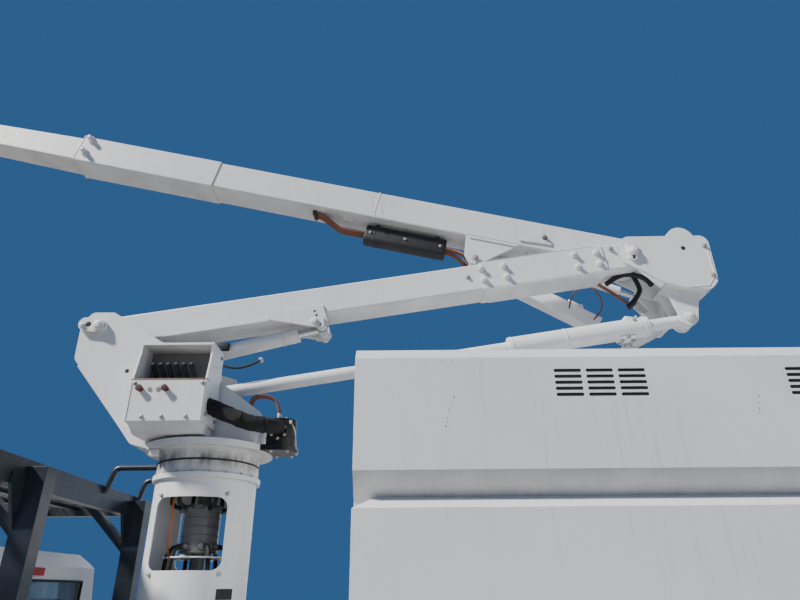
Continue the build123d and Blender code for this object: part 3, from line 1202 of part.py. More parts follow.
def make_lower_boom():
    plane = lower_plane()
    top = LOWER_HEIGHT / 2
    half = LOWER_HALF_WIDTH
    lug_s, lug_t = RAM_LUG
    with BuildPart() as boom:
        add(box_beam(plane, 0, LOWER_LENGTH, 0, half, LOWER_HEIGHT, BOOM_CORNER))
        add(disc(plane, (0, 0), top, -half, half))
        add(disc(plane, (LOWER_LENGTH, 0), top, -half, half))
        add(box_beam(plane, LOWER_SLEEVE[0], LOWER_SLEEVE[1], 0, half + SLEEVE_PROUD,
                     LOWER_HEIGHT + 2 * SLEEVE_PROUD, BOOM_CORNER))
        lug = ((lug_s - 370, -top + 60), (lug_s - 370, -top + 10), (lug_s - 50, lug_t - 25),
               (lug_s + 20, lug_t - 25), (lug_s + 45, lug_t + 20), (lug_s + 30, -top + 60))
        for y in ((half - 2, half + RAM_LUG_PLATE), (-half - RAM_LUG_PLATE, -half + 2)):
            add(slab(plane, lug, y[0], y[1]))
            add(disc(plane, RAM_LUG, RAM_EYE_R + 6, y[0], y[1]))
        for y in ((half + RAM_LUG_PLATE - 2, half + RAM_LUG_PLATE + 20),
                  (-half - RAM_LUG_PLATE - 20, 2 - half - RAM_LUG_PLATE)):
            add(keeper(plane, RAM_LUG, 2 * RAM_EYE_R + 10, RAM_EYE_R + 8, y[0], y[1], 90))
        for y in ((RAM_EYE_HALF + SIDE_GAP, half), (-half, -RAM_EYE_HALF - SIDE_GAP)):
            add(disc(plane, RAM_LUG, RAM_EYE_R - 6, y[0], y[1]))
        for s, bore in ((0, PIN_R + PIN_GAP), (LOWER_LENGTH, PIN_R + PIN_GAP)):
            add(disc(plane, (s, 0), bore, -half - 5, half + 5), mode=Mode.SUBTRACT)
    save(boom.part, "lower_boom")


def make_ram(name, base, eye, y, sizes, square=False):
    """A hydraulic ram: a barrel on its base pin and a rod that ends in an eye."""
    barrel_r, rod_r, eye_r, eye_half, head_gap = sizes
    run = Vector(eye[0] - base[0], 0, eye[1] - base[1])
    length = run.length
    way = run.normalized()
    origin = Vector(base[0], y, base[1])
    barrel_end = length - head_gap
    neck_r = min(eye_half, barrel_r) * 0.9
    with BuildPart() as barrel:
        if square:
            plane = Plane(origin=origin + way * RAM_START, x_dir=(0, 1, 0), z_dir=way)
            with BuildSketch(plane):
                RectangleRounded(2 * barrel_r, 2 * barrel_r, 12)
            extrude(amount=barrel_end - RAM_START)
        else:
            add(bar(origin + way * RAM_START, origin + way * barrel_end, barrel_r))
            add(bar(origin + way * (barrel_end - RAM_COLLAR_LENGTH), origin + way * barrel_end,
                    barrel_r + RAM_COLLAR))
        add(bar(origin + way * eye_r * 0.7, origin + way * (RAM_START + 5), neck_r))
        add(disc(Plane.XZ, base, eye_r, y - eye_half, y + eye_half))
        add(disc(Plane.XZ, base, RAM_PIN_R + PIN_GAP, y - eye_half - 5, y + eye_half + 5),
            mode=Mode.SUBTRACT)
        add(bar(origin + way * 2 * eye_r, origin + way * (barrel_end + 5), rod_r + PIN_GAP),
            mode=Mode.SUBTRACT)
    save(barrel.part, name + "_barrel")
    with BuildPart() as rod:
        add(bar(origin + way * (2 * eye_r + RAM_STROKE_ROOM), origin + way * (length - eye_r * 0.8), rod_r))
        add(disc(Plane.XZ, eye, eye_r, y - eye_half, y + eye_half))
        add(disc(Plane.XZ, eye, RAM_PIN_R + PIN_GAP, y - eye_half - 5, y + eye_half + 5),
            mode=Mode.SUBTRACT)
    save(rod.part, name + "_rod")


def make_link():
    """The levelling link, parallel to the lower boom and as long as it."""
    angle = math.radians(LOWER_ANGLE)
    start = Vector(TURRET_PIN[0] + LINK_DROP[0], 0, TURRET_PIN[1] + LINK_DROP[1])
    way = Vector(-math.cos(angle), 0, math.sin(angle))
    end = start + way * LOWER_LENGTH
    with BuildPart() as link:
        add(bar(start + way * 40, end - way * 40, LINK_R))
        add(bar(start + way * LINK_SLEEVE[0], start + way * LINK_SLEEVE[1], LINK_SLEEVE_R))
        for place in (start, end):
            add(disc(Plane.XZ, (place.X, place.Z), LINK_EYE_R, -LINK_EYE_HALF, LINK_EYE_HALF))
        add(disc(Plane.XZ, (start.X, start.Z), PIN_R - 8 + PIN_GAP, -LINK_EYE_HALF - 5, LINK_EYE_HALF + 5),
            mode=Mode.SUBTRACT)
        add(disc(Plane.XZ, (end.X, end.Z), PIN_R - 8, -LINK_EYE_HALF - 5, LINK_EYE_HALF + 5),
            mode=Mode.SUBTRACT)
    save(link.part, "levelling_link")


def make_elbow():
    pin_x, pin_z = elbow_pin()
    link = (pin_x + LINK_DROP[0], pin_z + LINK_DROP[1])
    inner = ELBOW_HALF_WIDTH - ELBOW_PLATE
    top = ELBOW_TOP_Z
    side = ((pin_x + 74, top - 6, 70), (ELBOW_REAR_X, top, 65), (ELBOW_REAR_X, top - 379, 60),
            (ELBOW_REAR_X + 60, top - 446, 60), (-3295, 3741, 40), (-3125, 3797, 30),
            (pin_x - 58, 3873, 30), (pin_x + 78, 3951, 40))
    with BuildPart() as elbow:
        for y in ((inner, ELBOW_HALF_WIDTH), (-ELBOW_HALF_WIDTH, -inner)):
            add(plate(Plane.XZ, side, y[0], y[1]))
        add(keeper(Plane.XZ, (pin_x, pin_z), ELBOW_KEEPER_LENGTH, 2 * PIN_R, ELBOW_HALF_WIDTH - 2,
                   ELBOW_HALF_WIDTH + ELBOW_KEEPER_PROUD, 90))
        rear_x = ELBOW_REAR_X
        belly = ((-3175, 3783), (-3295, 3743), (rear_x + 74, top - 441), (rear_x + 28, top - 414),
                 (rear_x + 2, top - 378), (rear_x + 9, top - 60), (rear_x + 24, top - 60),
                 (rear_x + 18, top - 374), (rear_x + 38, top - 402),
                 (rear_x + 80, top - 424), (-3295, 3759), (-3180, 3798))
        add(slab(Plane.XZ, belly, -inner - 2, inner + 2))
        lug = ((-3180, 3790), (link[0] + 50, link[1] - 40), (link[0], link[1] - LINK_EYE_R - 4),
               (link[0] - 60, link[1] - 20), (ELBOW_REAR_X + 120, top - 430))
        gap = LINK_EYE_HALF + SIDE_GAP
        for y in ((gap, gap + 22), (-gap - 22, -gap)):
            add(slab(Plane.XZ, lug, y[0], y[1]))
            add(disc(Plane.XZ, link, LINK_EYE_R + 4, y[0], y[1]))
        for y in ((gap + 20, gap + 40), (-gap - 40, -gap - 20)):
            add(disc(Plane.XZ, link, PIN_R, y[0], y[1]))
        for y in ((LOWER_HALF_WIDTH + SIDE_GAP, inner + 2), (-inner - 2, -LOWER_HALF_WIDTH - SIDE_GAP)):
            add(disc(Plane.XZ, (pin_x, pin_z), BOSS_R - 8, y[0], y[1]))
        add(disc(Plane.XZ, (pin_x, pin_z), PIN_R, -inner - 5, inner + 5))
        boom_inner = UPPER_Y + UPPER_HALF_WIDTH
        boom_outer = UPPER_Y - UPPER_HALF_WIDTH
        add(disc(Plane.XZ, UPPER_PIN, UPPER_PIN_R + 40, boom_inner + SIDE_GAP, inner + 2))
        add(disc(Plane.XZ, UPPER_PIN, UPPER_PIN_R, boom_outer - SIDE_GAP - 2, -inner))
        add(disc(Plane.XZ, UPPER_PIN, UPPER_PIN_R + 28, boom_outer - SIDE_GAP - 16, boom_outer - SIDE_GAP))
        half_gap = ANCHOR_GAP / 2
        bracket_far = UPPER_Y - half_gap - ANCHOR_PLATE
        spine_x = -3250.0
        cheek = ((spine_x, 3560), (spine_x, 3880), (LEVEL_ANCHOR[0] - 40, LEVEL_ANCHOR[1] + 38),
                 (LEVEL_ANCHOR[0] + 25, LEVEL_ANCHOR[1] + 30), (LEVEL_ANCHOR[0] + 35, LEVEL_ANCHOR[1] - 25),
                 (-3170, 3740), (RAM_ANCHOR[0] + 30, RAM_ANCHOR[1] + 48),
                 (RAM_ANCHOR[0] + 50, RAM_ANCHOR[1] - 10), (RAM_ANCHOR[0], RAM_ANCHOR[1] - 50))
        bracket_near = UPPER_Y + half_gap + ANCHOR_PLATE
        for y in ((UPPER_Y + half_gap, bracket_near), (bracket_far, UPPER_Y - half_gap)):
            add(slab(Plane.XZ, cheek, y[0], y[1]))
            for anchor in (RAM_ANCHOR, LEVEL_ANCHOR):
                add(disc(Plane.XZ, anchor, 30, y[0] - 4, y[1] + 4))
        spine = ((spine_x - 30, 3560), (spine_x - 30, 3880), (spine_x + 6, 3880), (spine_x + 6, 3560))
        add(slab(Plane.XZ, spine, bracket_far, -inner))
    save(elbow.part, "elbow")


def make_upper_boom():
    plane = upper_plane()
    top = UPPER_HEIGHT / 2
    right, left = UPPER_Y - UPPER_HALF_WIDTH, UPPER_Y + UPPER_HALF_WIDTH
    head_s, head_t = RAM_HEAD
    level_s, level_t = LEVEL_HEAD
    joint_s = UPPER_SLEEVE[1] - 200
    with BuildPart() as boom:
        tail = ((BOOM_CORNER + 2, -top, 0), (-UPPER_TAIL, -top, 45), (-UPPER_TAIL, top, 45),
                (BOOM_CORNER + 2, top, 0))
        add(plate(plane, tail, right, left))
        add(box_beam(plane, 0, joint_s, UPPER_Y, UPPER_HALF_WIDTH, UPPER_HEIGHT, BOOM_CORNER))
        add(box_beam(plane, UPPER_SLEEVE[0], UPPER_SLEEVE[1], UPPER_Y, UPPER_HALF_WIDTH + SLEEVE_PROUD,
                     UPPER_HEIGHT + 2 * SLEEVE_PROUD, BOOM_CORNER))
        gusset = ((head_s - 330, -top + 5), (head_s - 130, head_t + 40), (head_s - 40, head_t - 45),
                  (head_s + 40, head_t - 45), (head_s + 90, head_t + 20), (head_s + 110, -top + 5))
        for y in ((left - 16, left), (right, right + 16)):
            add(slab(plane, gusset, y[0], y[1]))
        gap = UPPER_RAM_HALF + SIDE_GAP
        for y in ((UPPER_Y + RAM_EYE_HALF + SIDE_GAP, left), (right, UPPER_Y - RAM_EYE_HALF - SIDE_GAP)):
            add(disc(plane, RAM_HEAD, RAM_EYE_R - 4, y[0], y[1]))
        add(disc(plane, RAM_HEAD, RAM_PIN_R, right, left))
        cheek = ((level_s - 60, -top + 5), (level_s - 35, level_t - 30), (level_s + 35, level_t - 30),
                 (level_s + 60, -top + 5))
        for y in ((UPPER_Y + RAM_EYE_HALF + SIDE_GAP, UPPER_Y + RAM_EYE_HALF + SIDE_GAP + 14),
                  (UPPER_Y - RAM_EYE_HALF - SIDE_GAP - 14, UPPER_Y - RAM_EYE_HALF - SIDE_GAP)):
            add(slab(plane, cheek, y[0], y[1]))
        add(disc(plane, LEVEL_HEAD, RAM_PIN_R, UPPER_Y - RAM_EYE_HALF - SIDE_GAP - 5,
                 UPPER_Y + RAM_EYE_HALF + SIDE_GAP + 5))
        add(disc(plane, (0, 0), UPPER_PIN_R + PIN_GAP, right - 5, left + 5), mode=Mode.SUBTRACT)
    save(boom.part, "upper_boom")

    low, high = -top - SLEEVE_DROP - HOSE_SLEEVE_HEIGHT, -top - SLEEVE_DROP
    front, rear = HOSE_SLEEVE
    hose_t = (low + high) / 2
    with BuildPart() as hoses:
        cover = ((rear, low + 12, 10), (rear + 12, high, 10), (front, high, 10), (front - 12, low, 10))
        add(plate(plane, cover, UPPER_Y - HOSE_SLEEVE_HALF, UPPER_Y + HOSE_SLEEVE_HALF))
        for s in (rear + 90, front - 90):
            add(slab(plane, ((s - 15, high - 5), (s - 15, -top), (s + 15, -top), (s + 15, high - 5)),
                     UPPER_Y - 20, UPPER_Y + 20))
        for sleeve_y, end_y in ((-39, -86), (-13, -60), (13, 60), (39, 86)):
            front_run = ((front - 30, hose_t, sleeve_y), (front + 190, hose_t - 6, sleeve_y),
                         (front + 440, -top + 6, sleeve_y))
            rear_run = ((rear + 30, hose_t, sleeve_y), (rear - 45, hose_t - 6, sleeve_y),
                        (head_s + 30, head_t + 8, end_y))
            for run in (front_run, rear_run):
                path = [plane.from_local_coords(Vector(s, t, 0)) + Vector(0, UPPER_Y + y, 0)
                        for s, t, y in run]
                add(hose(path, [HOSE_BEND], HOSE_R))
        add(boom.part, mode=Mode.SUBTRACT)
    save(hoses.part, "boom_hoses")

    end = TIP_HEIGHT / 2
    with BuildPart() as tip:
        base = UPPER_SLEEVE[1]
        outline = ((base, -top + 6), (base, top - 6), (UPPER_LENGTH, end), (UPPER_LENGTH, -end))
        start = Plane(origin=plane.from_local_coords(Vector(base, 0, -UPPER_Y)), x_dir=(0, 1, 0),
                      z_dir=plane.x_dir)
        with BuildSketch(start):
            RectangleRounded(2 * UPPER_HALF_WIDTH - 12, UPPER_HEIGHT - 12, 14)
        with BuildSketch(start.offset(UPPER_LENGTH - base)):
            RectangleRounded(2 * TIP_HALF_WIDTH, TIP_HEIGHT, 14)
        loft()
        add(disc(plane, (UPPER_LENGTH, 0), end, UPPER_Y - TIP_HALF_WIDTH, UPPER_Y + TIP_HALF_WIDTH))
        add(disc(plane, (UPPER_LENGTH, 0), TIP_PIN_R + PIN_GAP, UPPER_Y - TIP_HALF_WIDTH - 5,
                 UPPER_Y + TIP_HALF_WIDTH + 5), mode=Mode.SUBTRACT)
    save(tip.part, "boom_tip")


# Platform
def make_platform():
    tip_x, tip_z = at(upper_plane(), (UPPER_LENGTH, 0))
    rotor_x = tip_x + ROTATOR_REACH
    inner = TIP_HALF_WIDTH + SIDE_GAP
    outer = inner + BRACKET_PLATE
    with BuildPart() as bracket:
        cheek = ((tip_x - 50, tip_z + 20), (tip_x - 20, tip_z + 52), (rotor_x, tip_z + 70),
                 (rotor_x, tip_z - 210), (rotor_x - 45, tip_z - 210), (tip_x - 50, tip_z - 30))
        for y in ((UPPER_Y + inner, UPPER_Y + outer), (UPPER_Y - outer, UPPER_Y - inner)):
            add(slab(Plane.XZ, cheek, y[0], y[1]))
        add(disc(Plane.XZ, (tip_x, tip_z), TIP_PIN_R, UPPER_Y - outer - 8, UPPER_Y + outer + 8))
        add(block((rotor_x - ROTATOR_R + 6, rotor_x + 4), span(UPPER_Y, outer - 3),
                  (tip_z - 200, tip_z + 60)))
        with Locations((rotor_x, UPPER_Y, tip_z - 70)):
            Cylinder(ROTATOR_R, 280)
    save(bracket.part, "platform_bracket")

    back_x = rotor_x + BUCKET_OFFSET
    low = tip_z - BUCKET_DROP
    high = low + BUCKET_HEIGHT
    middle = back_x + BUCKET_SIZE / 2
    inset = BUCKET_TAPER
    with BuildPart() as bucket:
        with BuildSketch(Plane.XY.offset(low)):
            with Locations((middle, UPPER_Y)):
                RectangleRounded(BUCKET_SIZE - 2 * inset, BUCKET_SIZE - 2 * inset, BUCKET_CORNER)
        with BuildSketch(Plane.XY.offset(high)):
            with Locations((middle, UPPER_Y)):
                RectangleRounded(BUCKET_SIZE - 2 * BUCKET_LIP, BUCKET_SIZE - 2 * BUCKET_LIP, BUCKET_CORNER)
        loft()
        with BuildSketch(Plane.XY.offset(high - 40)):
            with Locations((middle, UPPER_Y)):
                RectangleRounded(BUCKET_SIZE, BUCKET_SIZE, BUCKET_CORNER + 10)
        extrude(amount=40)
        with BuildSketch(Plane.XY.offset(low + BUCKET_WALL)):
            with Locations((middle, UPPER_Y)):
                RectangleRounded(BUCKET_SIZE - 2 * inset - 2 * BUCKET_WALL,
                                 BUCKET_SIZE - 2 * inset - 2 * BUCKET_WALL, BUCKET_INNER_CORNER)
        with BuildSketch(Plane.XY.offset(high + 1)):
            with Locations((middle, UPPER_Y)):
                RectangleRounded(BUCKET_SIZE - 2 * BUCKET_LIP - 2 * BUCKET_WALL,
                                 BUCKET_SIZE - 2 * BUCKET_LIP - 2 * BUCKET_WALL, BUCKET_INNER_CORNER)
        loft(mode=Mode.SUBTRACT)
        for z in (tip_z + 76, tip_z - 246):
            add(block((rotor_x - 45, back_x + inset + 5), span(UPPER_Y, 45), (z, z + 30)))
        add(block((rotor_x + outer + BUCKET_MOUNT_GAP, back_x + inset + 5), span(UPPER_Y, 90),
                  (tip_z - 246, tip_z + 106)))
    save(bucket.part, "bucket")


def main():
    os.makedirs("parts", exist_ok=True)
    make_frame()
    make_axles()
    make_drive_line()
    make_wheels()
    make_knuckles()
    make_cab()
    make_interior()
    make_front_end()
    make_guard()
    make_pedestal()
    make_cabinets()
    make_body()
    make_rear_end()
    make_side_gear()
    make_turret_hoses([make_turret(), make_controls(), make_slew_drive()])
    make_lower_boom()
    make_link()
    make_elbow()
    make_upper_boom()
    lower, upper = lower_plane(), upper_plane()
    make_ram("lift_ram", RAM_BASE, at(lower, RAM_LUG), 0,
             (RAM_BARREL_R, RAM_ROD_R, RAM_EYE_R, RAM_EYE_HALF, LIFT_HEAD_GAP))
    make_ram("upper_ram", at(upper, RAM_HEAD), RAM_ANCHOR, UPPER_Y,
             (UPPER_RAM_HALF, UPPER_RAM_ROD_R, RAM_EYE_R, RAM_EYE_HALF, UPPER_HEAD_GAP), square=True)
    make_ram("level_ram", at(upper, LEVEL_HEAD), LEVEL_ANCHOR, UPPER_Y,
             (LEVEL_RAM_R, LEVEL_ROD_R, 34.0, RAM_EYE_HALF, LEVEL_HEAD_GAP))
    make_platform()


main()
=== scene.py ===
import bmesh
import bpy
import math
from contextlib import contextmanager
from mathutils import Matrix, Vector


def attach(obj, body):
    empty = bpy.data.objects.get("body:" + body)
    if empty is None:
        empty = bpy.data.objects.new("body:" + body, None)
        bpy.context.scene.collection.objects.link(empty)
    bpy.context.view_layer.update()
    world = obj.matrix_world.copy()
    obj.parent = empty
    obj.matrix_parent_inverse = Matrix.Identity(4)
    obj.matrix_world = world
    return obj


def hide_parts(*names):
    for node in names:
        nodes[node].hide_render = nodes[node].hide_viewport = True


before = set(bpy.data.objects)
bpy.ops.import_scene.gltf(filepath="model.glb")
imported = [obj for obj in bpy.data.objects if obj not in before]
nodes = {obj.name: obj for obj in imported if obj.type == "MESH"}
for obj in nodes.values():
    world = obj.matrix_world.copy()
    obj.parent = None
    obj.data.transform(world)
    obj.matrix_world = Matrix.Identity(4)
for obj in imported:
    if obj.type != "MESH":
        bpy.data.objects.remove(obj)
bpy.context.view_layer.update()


# Camera, floor and light
CAMERA_PLACE = (-1.251, 4.0, 1.8)
LENS = 27.1
CAMERA_RISE, CAMERA_ROLL = 25.75, -0.46


def set_camera():
    data = bpy.data.cameras.new("camera")
    data.sensor_width = 36
    data.lens = LENS
    data.clip_end = 500
    camera = bpy.data.objects.new("camera", data)
    bpy.context.scene.collection.objects.link(camera)
    turn = (Matrix.Rotation(math.pi, 4, "Z") @ Matrix.Rotation(math.radians(90 + CAMERA_RISE), 4, "X")
            @ Matrix.Rotation(math.radians(CAMERA_ROLL), 4, "Z"))
    camera.matrix_world = Matrix.Translation(CAMERA_PLACE) @ turn
    bpy.context.scene.camera = camera


def add_light(name, kind, energy, towards, **settings):
    data = bpy.data.lights.new(name, kind)
    data.energy = energy
    for key, value in settings.items():
        setattr(data, key, value)
    lamp = bpy.data.objects.new(name, data)
    bpy.context.scene.collection.objects.link(lamp)
    lamp.rotation_euler = Vector(towards).to_track_quat("-Z", "Y").to_euler()


def set_studio():
    bpy.ops.object.select_all(action="DESELECT")
    bpy.ops.mesh.primitive_plane_add(size=160, location=(0, 0, 0))
    floor = bpy.context.object
    floor.name = "floor"
    floor.data.materials.append(plain("floor_pale", (0.32, 0.31, 0.29), 0.85))
    add_light("key_light", "SUN", 6.2, (-0.64, -0.36, -0.68), angle=math.radians(5),
              color=(1.0, 0.97, 0.93))
    add_light("fill_light", "SUN", 0.9, (0.0, 0.9, -0.4), angle=math.radians(60),
              color=(0.93, 0.96, 1.0))
    world = bpy.data.worlds.new("studio")
    bpy.context.scene.world = world
    world.use_nodes = True
    back = world.node_tree.nodes["Background"]
    back.inputs["Color"].default_value = (0.08, 0.26, 0.64, 1)
    back.inputs["Strength"].default_value = 0.42


# Surface finishes
class Finish:
    """A material's node tree, built up one node at a time."""

    def __init__(self, name, colour=(0.8, 0.8, 0.8), rough=0.5, **sockets):
        self.material = bpy.data.materials.new(name)
        self.material.use_nodes = True
        self.colour = colour
        self.tree = self.material.node_tree
        self.shader = self.tree.nodes["Principled BSDF"]
        self.shader.inputs["Base Color"].default_value = (*colour, 1)
        self.shader.inputs["Roughness"].default_value = rough
        for key, value in sockets.items():
            self.shader.inputs[key.replace("_", " ")].default_value = value
        self.place = self.node("ShaderNodeTexCoord").outputs["Object"]

    def node(self, kind, links=None, **settings):
        made = self.tree.nodes.new(kind)
        for key, value in settings.items():
            setattr(made, key, value)
        for key, value in (links or {}).items():
            socket = made.inputs[key]
            if isinstance(value, bpy.types.NodeSocket):
                self.tree.links.new(value, socket)
            else:
                socket.default_value = value
        return made

    def link(self, source, socket):
        self.tree.links.new(source, self.shader.inputs[socket])

    def scaled(self, scale):
        """The piece's own place, stretched along each axis."""
        return self.node("ShaderNodeMapping", {"Vector": self.place, "Scale": scale}).outputs["Vector"]

    def noise(self, scale, detail=4.0, rough=0.55, stretch=None):
        where = self.scaled(stretch) if stretch else self.place
        return self.node("ShaderNodeTexNoise", {"Vector": where, "Scale": scale, "Detail": detail,
                                                "Roughness": rough}).outputs["Fac"]

    def ramp(self, source, low, high):
        """From 0 at low to 1 at high."""
        made = self.node("ShaderNodeMapRange", {"Value": source, "From Min": low, "From Max": high})
        made.clamp = True
        return made.outputs["Result"]

    def math(self, how, one, two=None):
        links = {0: one}
        if two is not None:
            links[1] = two
        return self.node("ShaderNodeMath", links, operation=how).outputs["Value"]

    def mix(self, share, one, two):
        """A colour between two others."""
        made = self.node("ShaderNodeMix", data_type="RGBA")
        for socket, value in ((0, share), (6, one), (7, two)):
            if isinstance(value, bpy.types.NodeSocket):
                self.tree.links.new(value, made.inputs[socket])
            else:
                made.inputs[socket].default_value = value if socket == 0 else (*value, 1)
        return made.outputs[2]

    def soil(self, mask, share, dirt):
        """The clean colour, going towards dirt where the mask is bright."""
        self.link(self.mix(self.math("MULTIPLY", mask, share), self.colour, dirt), "Base Color")

    def corners(self, size, low=0.02, high=0.25):
        """1 along the outer edges of the piece, 0 on its flats."""
        soft = self.node("ShaderNodeBevel", {"Radius": size}, samples=4).outputs["Normal"]
        sharp = self.node("ShaderNodeNewGeometry").outputs["Normal"]
        dot = self.node("ShaderNodeVectorMath", {0: soft, 1: sharp}, operation="DOT_PRODUCT").outputs["Value"]
        return self.ramp(self.math("SUBTRACT", 1.0, dot), low, high)

    def crevices(self, reach):
        """1 in the corners where two faces meet, 0 in the open."""
        light = self.node("ShaderNodeAmbientOcclusion", {"Distance": reach}, samples=6).outputs["AO"]
        return self.ramp(light, 0.85, 0.25)

    def facing(self, axis):
        """How far the surface faces along X, Y or Z, from -1 to 1."""
        split = self.node("ShaderNodeSeparateXYZ",
                          {0: self.node("ShaderNodeNewGeometry").outputs["Normal"]})
        return split.outputs[axis]

    def height(self, axis):
        return self.node("ShaderNodeSeparateXYZ", {0: self.place}).outputs[axis]

    def bump(self, height, strength, distance, rounded=0.0):
        links = {"Height": height, "Strength": strength, "Distance": distance}
        if rounded:
            links["Normal"] = self.node("ShaderNodeBevel", {"Radius": rounded}, samples=4).outputs["Normal"]
        self.link(self.node("ShaderNodeBump", links).outputs["Normal"], "Normal")


def plain(name, colour, rough=0.5, grain=120.0, depth=0.0004, **sockets):
    """A finish with slight mottling and grain."""
    finish = Finish(name, colour, rough, **sockets)
    cloud = finish.noise(9.0)
    darker = tuple(c * 0.8 for c in colour)
    finish.link(finish.mix(finish.ramp(cloud, 0.4, 0.7), colour, darker), "Base Color")
    finish.link(finish.ramp(cloud, -1.2 - rough, 2.2 - rough), "Roughness")
    finish.bump(finish.noise(grain), 0.3, depth)
    return finish.material


def aged_paint(name, colour, rough=0.38, dirt=(0.30, 0.26, 0.21), worn=(0.22, 0.12, 0.06), nook_dirt_and_shade_share=0.5,
               rust=0.25, streak=0.4, rounded=0.004, underside_shading=(0.44, 0.44, 0.43), stain=None):
    """Sprayed steel that has stood outdoors: dust, drips, chipped edges and rust at its joints, with painted
    light and shade on its downward faces and grime mixed with painted shade in its crevices.
    """
    finish = Finish(name, colour, rough, Coat_Weight=0.18, Coat_Roughness=0.25)
    cloud = finish.noise(1.3, 5)
    base = finish.mix(finish.ramp(cloud, 0.35, 0.75), colour, tuple(c * 0.93 for c in colour))
    down = finish.noise(1.0, 6, 0.6, stretch=(26, 26, 1.1))
    drips = finish.math("MULTIPLY", finish.ramp(down, 0.56, 0.78), finish.ramp(cloud, 0.42, 0.62))
    base = finish.mix(finish.math("MULTIPLY", drips, streak), base, dirt)
    # Painted light and shade: downward faces go towards the underside colour in patches, lighter than the
    # paint on the black finishes and darker on the rest.
    painted_underside_shading = finish.math("MULTIPLY", finish.ramp(finish.facing("Z"), -0.25, -0.9),
                        finish.ramp(finish.noise(5.0), 0.2, 0.75))
    base = finish.mix(finish.math("MULTIPLY", painted_underside_shading, 0.75), base, underside_shading)
    blotch = finish.noise(14.0, 6, 0.65)
    # Grime and painted shade: crevices found by ambient occlusion go towards the dirt colour, in patches.
    crevice_dirt_and_shade = finish.math("MULTIPLY", finish.crevices(0.09), finish.ramp(blotch, 0.25, 0.7))
    base = finish.mix(finish.math("MULTIPLY", crevice_dirt_and_shade, nook_dirt_and_shade_share), base, dirt)
    specks = finish.ramp(finish.noise(95.0, 3, 0.7), 0.70, 0.76)
    base = finish.mix(finish.math("MULTIPLY", specks, 0.35), base, dirt)
    chips = finish.math("MULTIPLY", finish.corners(0.004),
                        finish.ramp(finish.noise(38.0, 5, 0.7), 0.56, 0.63))
    base = finish.mix(finish.math("MULTIPLY", chips, rust), base, worn)
    seep = finish.math("MULTIPLY", finish.crevices(0.03), finish.ramp(blotch, 0.55, 0.72))
    base = finish.mix(finish.math("MULTIPLY", seep, rust), base, worn)
    if stain:
        band = finish.math("MULTIPLY", finish.ramp(finish.height("Z"), *stain),
                           finish.ramp(finish.noise(6.0, 7, 0.7, stretch=(1.5, 1.5, 0.7)), 0.40, 0.62))
        base = finish.mix(band, base, (0.085, 0.055, 0.035))
    finish.link(base, "Base Color")
    finish.link(finish.ramp(finish.math("ADD", blotch, crevice_dirt_and_shade), rough - 1.15, rough + 1.9), "Roughness")
    finish.bump(finish.noise(420.0, 2), 0.12, 0.0006, rounded)
    return finish.material


def clear_glass():
    finish = Finish("clear_glass", (0.72, 0.80, 0.78), 0.03, IOR=1.45, Transmission_Weight=0.92)
    dust = finish.ramp(finish.noise(3.0, 6, 0.7), 0.45, 0.8)
    finish.soil(dust, 0.25, (0.66, 0.62, 0.55))
    finish.link(finish.ramp(dust, -0.1, 3.5), "Roughness")
    return finish.material


def polished_rod():
    finish = Finish("polished_rod", (0.70, 0.71, 0.73), 0.16, Metallic=1.0)
    smear = finish.ramp(finish.noise(16.0, 5, 0.6, stretch=(1, 5, 5)), 0.45, 0.75)
    finish.soil(smear, 0.6, (0.20, 0.17, 0.13))
    finish.link(finish.ramp(smear, -0.35, 2.2), "Roughness")
    finish.bump(finish.noise(300.0), 0.05, 0.0003)
    return finish.material


def brushed_tank():
    finish = Finish("brushed_aluminium", (0.60, 0.61, 0.62), 0.3, Metallic=1.0)
    lines = finish.noise(8.0, 4, 0.7, stretch=(1, 60, 60))
    stain = finish.ramp(finish.noise(4.0, 6), 0.45, 0.75)
    finish.soil(stain, 0.5, (0.33, 0.30, 0.26))
    finish.link(finish.ramp(lines, -0.3, 1.9), "Roughness")
    finish.bump(lines, 0.15, 0.0006, 0.003)
    return finish.material


def tyre_rubber():
    finish = Finish("tyre_rubber", (0.025, 0.025, 0.026), 0.75)
    dust = finish.ramp(finish.noise(7.0, 6, 0.65), 0.4, 0.75)
    finish.soil(dust, 0.55, (0.13, 0.115, 0.095))
    finish.link(finish.ramp(dust, -2.4, 1.4), "Roughness")
    finish.bump(finish.noise(160.0, 3), 0.25, 0.0008)
    return finish.material


def woven_sleeve():
    """Black braided cover, with dust in the weave."""
    finish = Finish("woven_sleeve", (0.004, 0.004, 0.005), 0.8)
    braid = finish.node("ShaderNodeTexWave", {"Vector": finish.place, "Scale": 90.0, "Distortion": 1.5},
                        bands_direction="DIAGONAL").outputs["Fac"]
    dust = finish.ramp(finish.noise(11.0, 5), 0.5, 0.85)
    finish.soil(dust, 0.3, (0.03, 0.028, 0.026))
    finish.bump(finish.math("ADD", braid, finish.noise(24.0)), 0.5, 0.002)
    return finish.material


def seat_cloth():
    finish = Finish("seat_cloth", (0.05, 0.05, 0.055), 0.9, Sheen_Weight=0.3)
    weave = finish.node("ShaderNodeTexWave", {"Vector": finish.place, "Scale": 160.0}).outputs["Fac"]
    faded = finish.ramp(finish.noise(3.0), 0.3, 0.8)
    finish.link(finish.mix(faded, finish.colour, (0.085, 0.085, 0.09)), "Base Color")
    finish.bump(weave, 0.4, 0.0008)
    return finish.material


